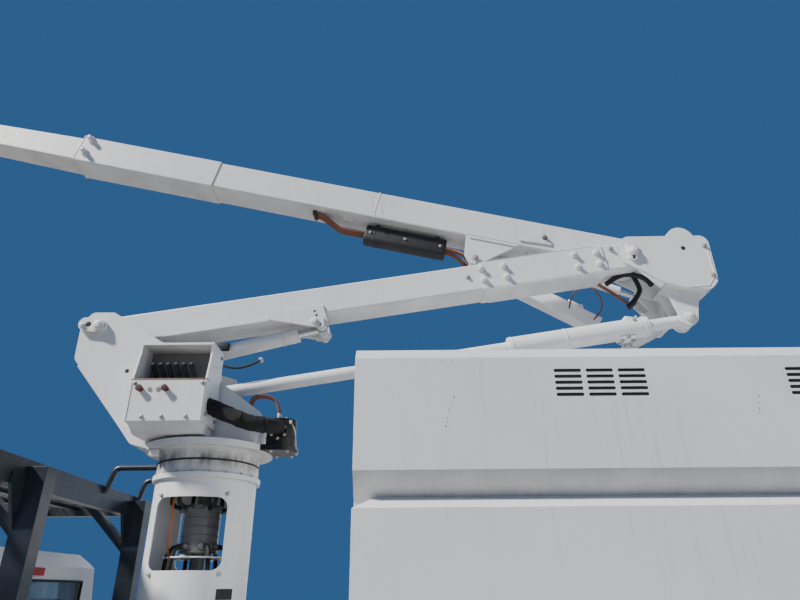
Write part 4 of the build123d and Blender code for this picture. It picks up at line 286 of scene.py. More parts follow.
WHITE = (0.80, 0.80, 0.79)
# Each finish's underside colour is painted light and shade for its downward faces, lighter than the paint on
# the black finishes and darker on the rest.
finishes = {
    "white": aged_paint("aged_white", WHITE),
    "body": aged_paint("body_white", (0.78, 0.785, 0.785), nook_dirt_and_shade_share=0.45, rust=0.2, streak=0.25),
    "cab": aged_paint("cab_white", (0.80, 0.80, 0.80), 0.25, nook_dirt_and_shade_share=0.3, rust=0.05, streak=0.1),
    "rack": aged_paint("rack_dark", (0.012, 0.020, 0.030), 0.42, dirt=(0.12, 0.11, 0.10), nook_dirt_and_shade_share=0.3,
                       underside_shading=(0.035, 0.040, 0.045)),
    "chassis": aged_paint("chassis_black", (0.018, 0.018, 0.018), 0.5, dirt=(0.14, 0.12, 0.10),
                          underside_shading=(0.08, 0.07, 0.06), nook_dirt_and_shade_share=0.8, rust=0.8),
    "cast": aged_paint("cast_grey", (0.17, 0.17, 0.17), 0.6, dirt=(0.10, 0.08, 0.06),
                       underside_shading=(0.13, 0.12, 0.10),
                       nook_dirt_and_shade_share=0.8, rust=0.7),
    "motor": aged_paint("motor_black", (0.005, 0.005, 0.006), 0.22, dirt=(0.04, 0.036, 0.03),
                        underside_shading=(0.012, 0.012, 0.012), nook_dirt_and_shade_share=0.4, rust=0.3),
    "ring": aged_paint("ring_white", (0.74, 0.73, 0.71), 0.45, nook_dirt_and_shade_share=0.9, rust=0.9, streak=0.8,
                       stain=(2.44, 2.535)),
    "turret": aged_paint("turret_white", WHITE, stain=(2.61, 2.53)),
    "rim": aged_paint("rim_white", (0.72, 0.72, 0.70), 0.4, nook_dirt_and_shade_share=0.9, rust=0.7, streak=0.5),
    "resin": aged_paint("moulded_resin", (0.80, 0.79, 0.75), 0.3, nook_dirt_and_shade_share=0.5, rust=0.0, streak=0.5,
                        rounded=0.006),
    "aluminium": brushed_tank(),
    "rod": polished_rod(),
    "rubber": tyre_rubber(),
    "sleeve": woven_sleeve(),
    "glass": clear_glass(),
    "cloth": seat_cloth(),
    "plastic": plain("dark_plastic", (0.014, 0.014, 0.015), 0.55, 260.0, 0.0008),
    "copper_hose": plain("copper_hose", (0.22, 0.085, 0.045), 0.5, 90.0, 0.0006),
    "black_hose": plain("black_hose", (0.008, 0.008, 0.008), 0.5, 200.0, 0.0004),
    "orange": plain("orange_cable", (0.75, 0.20, 0.03), 0.5),
    "red_lens": plain("red_lens", (0.42, 0.02, 0.015), 0.15, 60.0, 0.0004, Coat_Weight=0.6),
    "amber_lens": plain("amber_lens", (0.70, 0.26, 0.02), 0.15, 60.0, 0.0004, Coat_Weight=0.6),
    "zinc": plain("zinc_fastener", (0.52, 0.51, 0.48), 0.4, 150.0, 0.0004, Metallic=0.85),
    "pale_tip": plain("pale_tip", (0.42, 0.42, 0.40), 0.5),
    "knob": plain("knob_red", (0.09, 0.012, 0.008), 0.35),
    "button": plain("button_pale", (0.62, 0.60, 0.54), 0.4),
    "dark": plain("dark_inside", (0.02, 0.02, 0.02), 0.9),
    "chrome": plain("bright_trim", (0.75, 0.76, 0.78), 0.2, 200.0, 0.0002, Metallic=1.0),
    "seal": plain("window_seal", (0.014, 0.014, 0.015), 0.7, 150.0, 0.0005),
    "mirror": plain("mirror_glass", (0.80, 0.82, 0.84), 0.05, 20.0, 0.00005, Metallic=1.0),
    "lens": plain("lamp_lens", (0.75, 0.78, 0.80), 0.08, 60.0, 0.0006, Metallic=0.6, Coat_Weight=0.8),
    "shelf": plain("dusty_shelf", (0.24, 0.19, 0.13), 0.85, 60.0, 0.002),
    "oil": plain("oily_seam", (0.020, 0.015, 0.011), 0.35, 40.0, 0.001),
    "wire": plain("pale_wire", (0.55, 0.53, 0.46), 0.5),
    "strap": plain("dark_strap", (0.025, 0.025, 0.027), 0.6),
}
NODE_FINISH = {
    "turret": ("turret",),
    "white": ("control_box", "lower_boom", "elbow", "levelling_link", "lift_ram_barrel",
              "upper_boom", "upper_ram_barrel", "level_ram_barrel", "platform_bracket", "pedestal"),
    "body": ("chip_body", "tailgate_left", "tailgate_right", "cabinets", "cabinet_door_left",
             "cabinet_door_right"),
    "cab": ("cab_shell", "front_fenders", "hood", "door_left", "door_right"),
    "rack": ("cab_guard",),
    "chassis": ("frame", "axles", "drive_shaft", "rear_bumper", "front_bumper",
                "knuckle_left", "knuckle_right", "tie_rod"),
    "cast": ("engine_block", "silencer", "manifold"),
    "motor": ("slew_drive",),
    "ring": ("slew_ring",),
    "rim": ("front_rim_left", "front_rim_right", "rear_rims_left", "rear_rims_right"),
    "resin": ("boom_tip", "bucket"),
    "aluminium": ("fuel_tank",),
    "rod": ("lift_ram_rod", "upper_ram_rod", "level_ram_rod"),
    "rubber": ("front_tyre_left", "front_tyre_right", "rear_tyres_left", "rear_tyres_right"),
    "sleeve": ("turret_hoses", "boom_hoses"),
    "glass": ("cab_glass", "door_glass_left", "door_glass_right"),
    "cloth": ("cab_interior",),
    "plastic": ("steering_wheel", "levers"),
    "red_lens": ("lamps",),
    "chrome": ("grille",),
}


def finish_nodes():
    for key, names in NODE_FINISH.items():
        for name in names:
            nodes[name].data.materials.clear()
            nodes[name].data.materials.append(finishes[key])


# Shaping
LEFT, RIGHT, UP, DOWN, AHEAD, BACK = ((0, 1, 0), (0, -1, 0), (0, 0, 1), (0, 0, -1), (1, 0, 0), (-1, 0, 0))
SIDES = (("left", 1), ("right", -1))


def choose(*pieces):
    bpy.ops.object.select_all(action="DESELECT")
    for piece in pieces:
        piece.select_set(True)
    bpy.context.view_layer.objects.active = pieces[0]


def start(kind, **where):
    """A new primitive, alone in the selection, with its place in its mesh."""
    bpy.ops.object.select_all(action="DESELECT")
    getattr(bpy.ops.mesh, "primitive_" + kind + "_add")(**where)
    bpy.ops.object.transform_apply(location=True, rotation=True, scale=True)
    return bpy.context.object


@contextmanager
def shaping(piece):
    choose(piece)
    bpy.ops.object.mode_set(mode="EDIT")
    bpy.ops.mesh.select_all(action="DESELECT")
    yield piece
    bpy.ops.object.mode_set(mode="OBJECT")


def pick(piece, kind, rule):
    """Selects the vertices, edges or faces that the rule holds for."""
    bpy.ops.mesh.select_mode(type=kind)
    bpy.ops.mesh.select_all(action="DESELECT")
    mesh = bmesh.from_edit_mesh(piece.data)
    for part in {"VERT": mesh.verts, "EDGE": mesh.edges, "FACE": mesh.faces}[kind]:
        if rule(part):
            part.select_set(True)
    mesh.select_flush(True)
    bmesh.update_edit_mesh(piece.data)


def take_all():
    bpy.ops.mesh.select_all(action="SELECT")


def face_outwards():
    take_all()
    bpy.ops.mesh.normals_make_consistent(inside=False)


def spin_closed(centre, axis, steps):
    """Turns the outline of a flat piece into a closed ring."""
    take_all()
    bpy.ops.mesh.delete(type="ONLY_FACE")
    take_all()
    bpy.ops.mesh.spin(steps=steps, angle=2 * math.pi, center=centre, axis=axis)
    take_all()
    bpy.ops.mesh.remove_doubles(threshold=0.0001)
    face_outwards()


def bevel(width, steps=2, affect="EDGES"):
    bpy.ops.mesh.bevel(offset=width, segments=steps, affect=affect)


def box(low, high, soft=0.003, steps=2):
    size = [b - a for a, b in zip(low, high)]
    middle = [(a + b) / 2 for a, b in zip(low, high)]
    piece = start("cube", size=1, location=middle, scale=size)
    with shaping(piece):
        take_all()
        bevel(soft, steps)
    return piece


def rod(one, two, radius, soft=0.002, sides=24):
    run = Vector(two) - Vector(one)
    piece = start("cylinder", vertices=sides, radius=radius, depth=run.length,
                  location=(Vector(one) + Vector(two)) / 2, rotation=run.to_track_quat("Z", "Y").to_euler())
    with shaping(piece):
        pick(piece, "FACE", lambda face: len(face.verts) > 4)
        bevel(soft)
    return piece


def cut_plate(outline, thickness, soft=0.0015):
    """A flat plate with its corners in the outline, thickened by a vector."""
    piece = start("circle", vertices=len(outline), radius=1, fill_type="NGON")
    for vertex, place in zip(piece.data.vertices, outline):
        vertex.co = place
    with shaping(piece):
        take_all()
        bpy.ops.mesh.extrude_region_move(TRANSFORM_OT_translate={"value": thickness})
        face_outwards()
        bevel(soft, 1)
    return piece


def flat_ring(x, y, z, inner, outer, thick, steps=64):
    """A round plate with a hole, lying flat."""
    middle = (x + (inner + outer) / 2, y, z)
    piece = start("plane", size=1, location=middle, rotation=(math.pi / 2, 0, 0))
    with shaping(piece):
        take_all()
        bpy.ops.transform.resize(value=(outer - inner, 1, thick), center_override=middle)
        spin_closed((x, y, z), UP, steps)
    return piece


def line(points, radius, closed=False, smooth=6, kind="NURBS"):
    """A hose, bead or bent bar along its control points."""
    curve = bpy.data.curves.new("line", "CURVE")
    curve.dimensions = "3D"
    curve.bevel_depth = radius
    curve.bevel_resolution = 3
    curve.resolution_u = smooth
    curve.use_fill_caps = not closed
    spline = curve.splines.new(kind)
    spline.points.add(len(points) - 1)
    for point, place in zip(spline.points, points):
        point.co = (*place, 1)
    if kind == "NURBS":
        spline.order_u = 3
        spline.use_endpoint_u = not closed
    spline.use_cyclic_u = closed
    piece = bpy.data.objects.new("line", curve)
    bpy.context.scene.collection.objects.link(piece)
    choose(piece)
    bpy.ops.object.convert(target="MESH")
    return bpy.context.object


def bead(points, radius):
    """A closed strip of round section with sharp corners."""
    return line(points, radius, closed=True, kind="POLY")


def bar(points, radius):
    """A weld bead or bar of round section with sharp bends."""
    return line(points, radius, kind="POLY")


def join(*pieces):
    choose(*pieces)
    if len(pieces) > 1:
        bpy.ops.object.join()
    return bpy.context.object


def twin(piece, place):
    """A copy with its own mesh, set down by a matrix."""
    other = piece.copy()
    other.data = piece.data.copy()
    bpy.context.scene.collection.objects.link(other)
    other.data.transform(place)
    return other


def moved(piece, shift):
    return twin(piece, Matrix.Translation(shift))


def set_out(template, spots):
    """Copies of a template, each standing at a point along a direction, as one mesh."""
    made = []
    for point, way in spots:
        turn = Vector(way).to_track_quat("Z", "Y").to_matrix().to_4x4()
        made.append(twin(template, Matrix.Translation(point) @ turn))
    bpy.data.objects.remove(template)
    return join(*made)


def turned_about(template, centre, axis, angles):
    """Copies of a template, turned about a line, as one mesh."""
    out, back = Matrix.Translation(centre), Matrix.Translation(-Vector(centre))
    made = [twin(template, out @ Matrix.Rotation(angle, 4, axis) @ back) for angle in angles]
    bpy.data.objects.remove(template)
    return join(*made)


def mirrored(piece):
    """The same piece on the truck's other side."""
    other = twin(piece, Matrix.Scale(-1, 4, LEFT))
    with shaping(other):
        take_all()
        bpy.ops.mesh.flip_normals()
    return other


def complete(name, piece, finish, body, stands_for=()):
    """Names a piece, gives it its finish and lets it ride on its body."""
    choose(piece)
    piece.name = name
    piece.data.name = name
    piece.data.materials.clear()
    piece.data.materials.append(finishes[finish])
    bpy.ops.object.shade_smooth_by_angle(angle=math.radians(35))
    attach(piece, body)
    if stands_for:
        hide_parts(*stands_for)
    return piece


def hex_bolt(radius, height):
    """A hexagon head on its washer, standing up from the origin."""
    sheet = radius * 0.25
    washer = start("cylinder", vertices=20, radius=radius * 1.35, depth=sheet, location=(0, 0, sheet / 2))
    with shaping(washer):
        pick(washer, "FACE", lambda face: face.normal.z > 0.9)
        bevel(sheet * 0.4, 1)
    head = start("cylinder", vertices=6, radius=radius, depth=height, location=(0, 0, sheet + height / 2))
    with shaping(head):
        pick(head, "FACE", lambda face: face.normal.z > 0.9)
        bpy.ops.mesh.inset(thickness=radius * 0.16)
        bpy.ops.transform.translate(value=(0, 0, height * 0.12))
    return join(head, washer)


def capped_stud(radius, height):
    """A bolt with a rounded cap, standing up from the origin."""
    foot = start("cylinder", vertices=24, radius=radius * 1.5, depth=height * 0.3,
                 location=(0, 0, height * 0.15))
    with shaping(foot):
        pick(foot, "FACE", lambda face: face.normal.z > 0.9)
        bevel(height * 0.1)
    head = start("cylinder", vertices=20, radius=radius, depth=height, location=(0, 0, height / 2))
    with shaping(head):
        pick(head, "FACE", lambda face: face.normal.z > 0.9)
        bevel(radius * 0.45, 4)
    return join(head, foot)


def bolts_at(radius, height, spots):
    return set_out(hex_bolt(radius, height), spots)


def ring_on(point, run, radius, thick, sides, section=8):
    """A ring of round section about a line through a point."""
    ring = start("torus", major_radius=radius, minor_radius=thick, major_segments=sides,
                 minor_segments=section)
    return set_out(ring, [(point, run)])


def side_ring(x, y, z, radius, count, way, shift=0.0):
    """Points in a circle on an upright face, all looking the same way."""
    turns = [2 * math.pi * (k + shift) / count for k in range(count)]
    return [((x + radius * math.cos(turn), y, z + radius * math.sin(turn)), way) for turn in turns]


def hoop(x, y, z, radius, thick, sides=64):
    return start("torus", major_radius=radius, minor_radius=thick, major_segments=sides, minor_segments=8,
                 location=(x, y, z))


def washer_plate(centre, way, radius, thick):
    """A low round plate against a face."""
    foot = Vector(centre)
    return rod(foot, foot + Vector(way) * thick, radius, min(thick * 0.4, 0.003), 32)


def around(x, y, z, radius, count, shift=0.0):
    """Points on an upright column, with the way out of each."""
    spots = []
    for k in range(count):
        turn = 2 * math.pi * (k + shift) / count
        spots.append(((x + radius * math.cos(turn), y + radius * math.sin(turn), z),
                      (math.cos(turn), math.sin(turn), 0)))
    return spots


# Wheels
AXLE_Z = 0.43
FRONT_AXLE, REAR_AXLE = 3.03, -2.05
FRONT_TYRE_Y, REAR_TYRE_YS = 0.95, (0.7925, 1.0675)
TYRE_WIDTH, TYRE_DEPTH = 0.245, 0.171
TREAD_BLOCKS = 60
NUT_CIRCLE, HUB_CIRCLE = 0.1125, 0.062


def road_tyre(x, y):
    """A tyre of the truck's size, its axle along Y."""
    middle = (x, y, AXLE_Z + 0.3355)
    section = start("plane", size=1, location=middle, rotation=(0, math.pi / 2, 0))
    with shaping(section):
        take_all()
        bpy.ops.transform.resize(value=(1, TYRE_WIDTH, TYRE_DEPTH), center_override=middle)
        pick(section, "VERT", lambda vertex: vertex.co.z > AXLE_Z + 0.38)
        bevel(0.034, 4, "VERTICES")
        pick(section, "VERT", lambda vertex: vertex.co.z < AXLE_Z + 0.26)
        bpy.ops.transform.resize(value=(1, 0.8, 1), center_override=(x, y, AXLE_Z + 0.25))
        bevel(0.05, 4, "VERTICES")
        spin_closed((x, y, AXLE_Z), LEFT, 72)
    rings = []
    for side in (-1, 1):
        for radius, reach in ((0.30, 0.1195), (0.372, 0.1215)):
            rings.append(start("torus", major_radius=radius, minor_radius=0.004, major_segments=72,
                               minor_segments=6, location=(x, y + side * reach, AXLE_Z),
                               rotation=(math.pi / 2, 0, 0)))
    blocks = []
    for offset, width, lead in ((-0.098, 0.040, 0.0), (-0.048, 0.036, 0.35), (0.0, 0.034, 0.0),
                                (0.048, 0.036, 0.35), (0.098, 0.040, 0.0)):
        high = 0.4295 if abs(offset) < 0.09 else 0.4275
        block = start("cube", size=1, location=(x, y + offset, AXLE_Z + high - 0.008),
                      scale=(0.036, width, 0.016))
        with shaping(block):
            pick(block, "EDGE", lambda edge: min(v.co.z for v in edge.verts) > AXLE_Z + high - 0.004)
            bevel(0.0025, 1)
        block.data.transform(Matrix.Translation((x, 0, AXLE_Z)) @ Matrix.Rotation(lead * 0.1, 4, "Y")
                             @ Matrix.Translation((-x, 0, -AXLE_Z)))
        blocks.append(block)
    pitch = 2 * math.pi / TREAD_BLOCKS
    tread = turned_about(join(*blocks), (x, y, AXLE_Z), "Y", [pitch * k for k in range(TREAD_BLOCKS)])
    return join(section, tread, *rings)


def wheel_dress():
    front = road_tyre(FRONT_AXLE, FRONT_TYRE_Y)
    other = moved(front, (0, -2 * FRONT_TYRE_Y, 0))
    pairs = [[moved(front, (REAR_AXLE - FRONT_AXLE, sign * y - FRONT_TYRE_Y, 0)) for y in REAR_TYRE_YS]
             for side, sign in SIDES]
    for (side, sign), tyre in zip(SIDES, (front, other)):
        complete("road_tyre_front_" + side, tyre, "rubber", "front_wheel_" + side,
                 stands_for=("front_tyre_" + side,))
    for (side, sign), tyres in zip(SIDES, pairs):
        complete("road_tyres_rear_" + side, join(*tyres), "rubber", "rear_wheels_" + side,
                 stands_for=("rear_tyres_" + side,))


def wheel_nuts():
    """Ten nuts to a rim, and the hub's cap with its own eight bolts."""
    for side, sign in SIDES:
        way = (0, sign, 0)
        for place, x, nut_y, hub_y, body in (("front", FRONT_AXLE, 1.009, 1.08, "front_wheel_"),
                                             ("rear", REAR_AXLE, 0.956, 1.02, "rear_wheels_")):
            nuts = bolts_at(0.0145, 0.026, side_ring(x, sign * nut_y, AXLE_Z, NUT_CIRCLE, 10, way, 0.5))
            cap = rod((x, sign * (hub_y - 0.01), AXLE_Z), (x, sign * (hub_y + 0.014), AXLE_Z), 0.042, 0.006)
            bolts = bolts_at(0.008, 0.008, side_ring(x, sign * hub_y, AXLE_Z, HUB_CIRCLE, 8, way))
            complete("wheel_nuts_" + place + "_" + side, join(nuts, cap, bolts), "zinc", body + side)


# Cab and front end
MIRROR_Y, HEADLAMP_Z = 1.24, 1.125


def leaning(x, z, out=0.0):
    """A point of the cab's leaning side above the belt line."""
    return (x, 0.985 - 0.2477 * (z - 1.44) + out, z)


def door_dress():
    """Window seal, belt strip, handle and lock of both doors."""
    outline = ((1.262, 1.482), (1.252, 1.495), (1.252, 1.88), (1.265, 1.893), (1.678, 1.893),
               (1.727, 1.862), (2.105, 1.495), (2.10, 1.482))
    seal = bead([leaning(x, z, 0.004) for x, z in outline], 0.009)
    handle = box((1.235, 0.978, 1.335), (1.375, 1.012, 1.368), 0.008, 3)
    lock = rod((1.41, 0.98, 1.35), (1.41, 1.0, 1.35), 0.012)
    belt = box((1.19, 0.976, 1.437), (2.28, 0.992, 1.452), 0.003)
    trim = join(seal, belt)
    for side, sign in SIDES:
        one = trim if sign > 0 else mirrored(trim)
        complete("window_seal_" + side, one, "seal", "door_" + side)
        grip = join(handle, lock) if sign > 0 else mirrored(bpy.data.objects["door_handle_left"])
        complete("door_handle_" + side, grip, "plastic", "door_" + side)


def mirror_dress():
    for side, sign in SIDES:
        y = sorted((sign * 1.145, sign * 1.335))
        glass = box((2.091, y[0], 1.56), (2.097, y[1], 1.785), 0.002)
        small = box((2.091, y[0], 1.435), (2.097, y[1], 1.54), 0.002)
        complete("mirror_glass_" + side, join(glass, small), "mirror", "door_" + side)
        y = sign * MIRROR_Y
        case = box((2.087, y - 0.105, 1.424), (2.189, y + 0.105, 1.796), 0.02, 3)
        with shaping(case):
            pick(case, "FACE", lambda face: face.normal.x < -0.9 and face.calc_area() > 0.01)
            bpy.ops.mesh.inset(thickness=0.008)
            bpy.ops.transform.translate(value=(0.006, 0, 0))
        complete("mirror_case_" + side, case, "plastic", "door_" + side)


def windscreen_dress():
    shield = [(2.285, -0.86, 1.527), (2.285, 0.86, 1.527), (1.849, 0.745, 1.976), (1.849, -0.745, 1.976)]
    rear = [(1.018, -0.70, 1.508), (1.018, 0.70, 1.508), (1.018, 0.70, 1.872), (1.018, -0.70, 1.872)]
    complete("windscreen_seal", join(bead(shield, 0.012), bead(rear, 0.010)), "seal", "chassis")
    arms = []
    for y in (-0.62, 0.16):
        foot = rod((2.335, y, 1.478), (2.335, y, 1.50), 0.016)
        arm = line([(2.335, y, 1.498), (2.30, y + 0.06, 1.535), (2.16, y + 0.26, 1.675),
                    (2.10, y + 0.34, 1.735)], 0.006)
        blade = line([(2.235, y, 1.588), (2.10, y + 0.34, 1.728), (2.00, y + 0.60, 1.83)], 0.007)
        arms += [foot, arm, blade]
    complete("wipers", join(*arms), "plastic", "chassis")


def roof_lamps():
    """Five marker lamps across the roof."""
    lamp = box((-0.05, -0.035, 0.0), (0.05, 0.035, 0.028), 0.011, 3)
    spots = [((1.62, y, 2.049), UP) for y in (-0.62, -0.16, 0.0, 0.16, 0.62)]
    complete("roof_marker_lamps", set_out(lamp, spots), "amber_lens", "chassis")


def tank_dress():
    """Treads on the tank's step, its cap and its two straps."""
    treads = [box((1.3 + 0.01 * k, 0.62, 0.748), (1.3 + 0.01 * k + 0.006, 0.93, 0.757), 0.001, 1)
              for k in range(0, 60, 3)]
    cap = rod((1.9, 0.80, 0.745), (1.9, 0.80, 0.785), 0.05, 0.006, 32)
    complete("tank_step_and_cap", join(cap, *treads), "zinc", "chassis")
    straps = []
    for x in (1.36, 1.94):
        strap = bead([(x, 0.50, 0.43), (x, 0.94, 0.43), (x, 0.94, 0.752), (x, 0.50, 0.752)], 0.005)
        with shaping(strap):
            take_all()
            bpy.ops.transform.resize(value=(4.5, 1, 1), center_override=(x, 0.7, 0.6))
        straps.append(strap)
    complete("tank_straps", join(*straps), "zinc", "chassis")


def seat(y_low, y_high):
    """A cab seat: a crowned cushion and a padded back."""
    pads = []
    for low, high in (((1.14, y_low, 1.10), (1.68, y_high, 1.30)),
                      ((1.13, y_low, 1.28), (1.28, y_high, 1.775))):
        pad = box(low, high, 0.035, 3)
        with shaping(pad):
            take_all()
            bpy.ops.mesh.subdivide(number_cuts=2)
        swell = pad.modifiers.new("swell", "CAST")
        swell.factor = 0.06
        swell.cast_type = "SPHERE"
        choose(pad)
        bpy.ops.object.modifier_apply(modifier="swell")
        round_off = pad.modifiers.new("round", "SUBSURF")
        round_off.levels = round_off.render_levels = 1
        bpy.ops.object.modifier_apply(modifier="round")
        pads.append(pad)
    foot = box((1.16, y_low + 0.06, 0.962), (1.62, y_high - 0.06, 1.12), 0.02)
    return join(*pads, foot)


def interior_dress():
    for side, y in (("left", (0.20, 0.76)), ("right", (-0.76, -0.20))):
        piece = complete("seat_" + side, seat(*y), "cloth", "chassis", stands_for=("cab_interior",))
    outline = [(2.35, 0.97), (2.35, 1.415), (2.29, 1.428), (2.03, 1.385), (1.97, 1.29), (2.10, 1.155),
               (2.13, 0.97)]
    board = cut_plate([(x, -0.865, z) for x, z in outline], (0, 1.73, 0), 0.018)
    hood = box((1.985, 0.26, 1.33), (2.12, 0.66, 1.425), 0.02, 3)
    vents = [box((1.962, y - 0.06, 1.30), (1.985, y + 0.06, 1.345), 0.004) for y in (-0.75, -0.2, 0.0, 0.78)]
    complete("dashboard", join(board, hood, *vents), "plastic", "chassis", stands_for=("cab_interior",))


def grille_dress():
    """Slats and posts inside the grille."""
    slats = [box((3.806, -0.565, 0.925 + 0.054 * k), (3.818, 0.565, 0.933 + 0.054 * k), 0.002, 1)
             for k in range(7)]
    posts = [box((3.803, 0.06 * k - 0.003, 0.925), (3.811, 0.06 * k + 0.003, 1.25), 0.001, 1)
             for k in range(-9, 10)]
    complete("grille_screen", join(*slats, *posts), "dark", "chassis")


def headlamp_dress():
    """Lenses, rims and bright back panels, with the turn signals beside them."""
    lights, rims, turns = [], [], []
    for sign in (-1, 1):
        for y in (0.74, 0.92):
            centre = (3.833, sign * y, HEADLAMP_Z)
            lens = rod((3.83, sign * y, HEADLAMP_Z), (3.849, sign * y, HEADLAMP_Z), 0.078, 0.008, 40)
            with shaping(lens):
                pick(lens, "FACE", lambda face: face.normal.x > 0.99)
                bpy.ops.mesh.inset(thickness=0.03)
                bpy.ops.transform.translate(value=(0.004, 0, 0))
            lights.append(lens)
            rims.append(start("torus", major_radius=0.082, minor_radius=0.006, major_segments=40,
                              minor_segments=8, location=centre, rotation=(0, math.pi / 2, 0)))
        turns.append(box((3.80, sign * 1.06 - 0.03, 1.03), (3.812, sign * 1.06 + 0.03, 1.22), 0.005))
    complete("headlamp_lenses", join(*lights), "lens", "chassis")
    complete("headlamp_rims", join(*rims), "chrome", "chassis")
    complete("turn_signals", join(*turns), "amber_lens", "chassis")
    panels = [box((3.833, sign * 0.83 - 0.185, 1.014), (3.837, sign * 0.83 + 0.185, 1.236), 0.001, 1)
              for sign in (-1, 1)]
    complete("headlamp_backs", join(*panels), "chrome", "chassis")


def front_fastenings():
    bolts = [((3.955, y, z), AHEAD) for y in (-0.36, -0.28, 0.28, 0.36) for z in (0.63, 0.74)]
    plate = box((3.953, -0.16, 0.62), (3.958, 0.16, 0.76), 0.002)
    complete("bumper_bolts", join(bolts_at(0.013, 0.01, bolts), plate), "zinc", "chassis")
    pulls = [box((3.742, sign * 0.45 - 0.05, 1.30), (3.752, sign * 0.45 + 0.05, 1.33), 0.003)
             for sign in (-1, 1)]
    complete("hood_latches", join(*pulls), "plastic", "hood")


# Chassis
def frame_dress():
    """Spring clamps, lines along the rails and the bolts of the cross members."""
    bolts = []
    for axle_x, y, low in ((FRONT_AXLE, 0.40, 0.29), (REAR_AXLE, 0.50, 0.42)):
        for sign in (-1, 1):
            for x in (-0.035, 0.035):
                bolts.append(bar([(axle_x + x, sign * y - 0.052, low), (axle_x + x, sign * y - 0.052, 0.56),
                                  (axle_x + x, sign * y + 0.052, 0.56), (axle_x + x, sign * y + 0.052, low)],
                                 0.009))
    complete("spring_clamps", join(*bolts), "cast", "chassis")
    lines = []
    for sign, z in ((1, 0.80), (1, 0.77), (-1, 0.80)):
        y = sign * 0.35
        lines.append(line([(-4.3, y, z), (-2.6, y, z), (-2.0, y - sign * 0.02, z + 0.05), (-1.2, y, z),
                           (0.2, y, z - 0.01), (1.6, y, z)], 0.011))
    complete("frame_lines", join(*lines), "black_hose", "chassis")
    xs = (-4.34, -4.26, -3.14, -3.06, -1.34, -1.26, -0.34, -0.26, 0.26, 0.34, 2.42, 2.5, 3.56, 3.68)
    heads = [((x, sign * 0.432, z), (0, sign, 0)) for sign in (-1, 1) for z in (0.73, 0.85) for x in xs]
    complete("frame_bolts", bolts_at(0.011, 0.009, heads), "cast", "chassis")


def mud_flaps():
    flaps = []
    for sign in (-1, 1):
        y = sorted((sign * 0.68, sign * 1.18))
        flap = box((-2.662, y[0], 0.26), (-2.652, y[1], 0.90), 0.002, 1)
        with shaping(flap):
            pick(flap, "FACE", lambda face: face.normal.x < -0.9 and face.calc_area() > 0.05)
            bpy.ops.mesh.inset(thickness=0.03)
            bpy.ops.transform.translate(value=(0.003, 0, 0))
        arm = rod((-2.655, sign * 0.43, 0.905), (-2.655, sign * 1.18, 0.905), 0.014)
        flaps += [flap, arm]
    complete("mud_flaps", join(*flaps), "rubber", "chassis")


def tail_pipe():
    pipe = line([(0.97, -0.62, 0.61), (0.85, -0.64, 0.61), (0.72, -0.80, 0.59), (0.70, -0.93, 0.585)], 0.044)
    with shaping(pipe):
        pick(pipe, "FACE", lambda face: len(face.verts) > 4 and face.normal.y < -0.5)
        bpy.ops.mesh.inset(thickness=0.005)
        bpy.ops.mesh.extrude_region_move(TRANSFORM_OT_translate={"value": (0.02, 0.12, 0.006)})
    complete("tail_pipe", pipe, "cast", "chassis")


# Chip body
BODY_SIDE = 1.2192
VENT_XS = (-2.215, -3.335)
TAILGATE_X = -4.446


def body_sides():
    """Dark sheets in the vents as painted shade of the body's inside, the groove's front panel and the ledges
    beneath it.
    """
    # Painted shade: dark sheets just inside the vent slots stand for the shaded inside of the body.
    shade_sheets = [box((x - 0.25, y[0], 2.60), (x + 0.25, y[1], 2.79), 0.002, 1)
               for x in VENT_XS for y in ((1.2120, 1.2155), (-1.2155, -1.2120))]
    complete("vent_shade_sheets", join(*shade_sheets), "dark", "chassis")
    half = ((BODY_SIDE - 0.12, 2.10), (BODY_SIDE - 0.12, 2.1695), (BODY_SIDE, 2.2895))
    section = [*half, *((-y, z) for y, z in reversed(half))]
    closing = cut_plate([(-1.150, y, z) for y, z in section], (0.1195, 0, 0), 0.0008)
    complete("groove_closing_panel", closing, "body", "chassis")
    ledges = []
    for sign in (-1, 1):
        corners = [(-4.397, sign * y, z) for y, z in ((1.2194, 2.1272), (1.1002, 2.199), (1.1002, 2.160))]
        ledge = cut_plate(corners, (3.366, 0, 0), 0.0006)
        with shaping(ledge):
            pick(ledge, "VERT", lambda vertex: vertex.co.x > -2 and abs(vertex.co.y) < 1.11)
            bpy.ops.transform.translate(value=(-0.118, 0, 0))
        ledges.append(ledge)
    complete("side_ledges", join(*ledges), "cab", "chassis")


def body_marker_lamps():
    marks = []
    for y in ((-1.229, -1.219), (1.219, 1.229)):
        for x in (-1.08, -2.70, -4.33):
            marks.append(box((x - 0.045, y[0], 1.055), (x + 0.045, y[1], 1.085), 0.004))
    complete("side_marker_lamps", join(*marks), "amber_lens", "chassis")


def tailgate_dress():
    """Lock rod, keepers, stiffeners and lamps of each tailgate."""
    x = TAILGATE_X
    for side, sign in SIDES:
        bars = [rod((x - 0.022, sign * 0.07, 1.05), (x - 0.022, sign * 0.07, 2.84), 0.013)]
        for z in (1.10, 1.75, 2.78):
            bars.append(box((x - 0.034, sign * 0.07 - 0.035, z), (x, sign * 0.07 + 0.035, z + 0.05), 0.004))
        y = sorted((sign * 0.07, sign * 0.34))
        bars.append(box((x - 0.05, y[0], 1.47), (x - 0.036, y[1], 1.505), 0.005))
        for z in (1.26, 2.06, 2.70):
            y = sorted((sign * 0.80, sign * 1.20))
            bars.append(box((x - 0.010, y[0], z - 0.03), (x, y[1], z + 0.03), 0.003))
        for y in (0.35, 0.78):
            bars.append(box((x - 0.006, sign * y - 0.02, 1.04), (x, sign * y + 0.02, 2.85), 0.003))
        complete("tailgate_hardware_" + side, join(*bars), "body", "tailgate_" + side)
        lamps = [rod((x - 0.018, sign * y, 1.13), (x, sign * y, 1.13), 0.052, 0.006, 32)
                 for y in (0.92, 1.06)]
        complete("tail_lamps_" + side, join(*lamps), "red_lens", "tailgate_" + side)


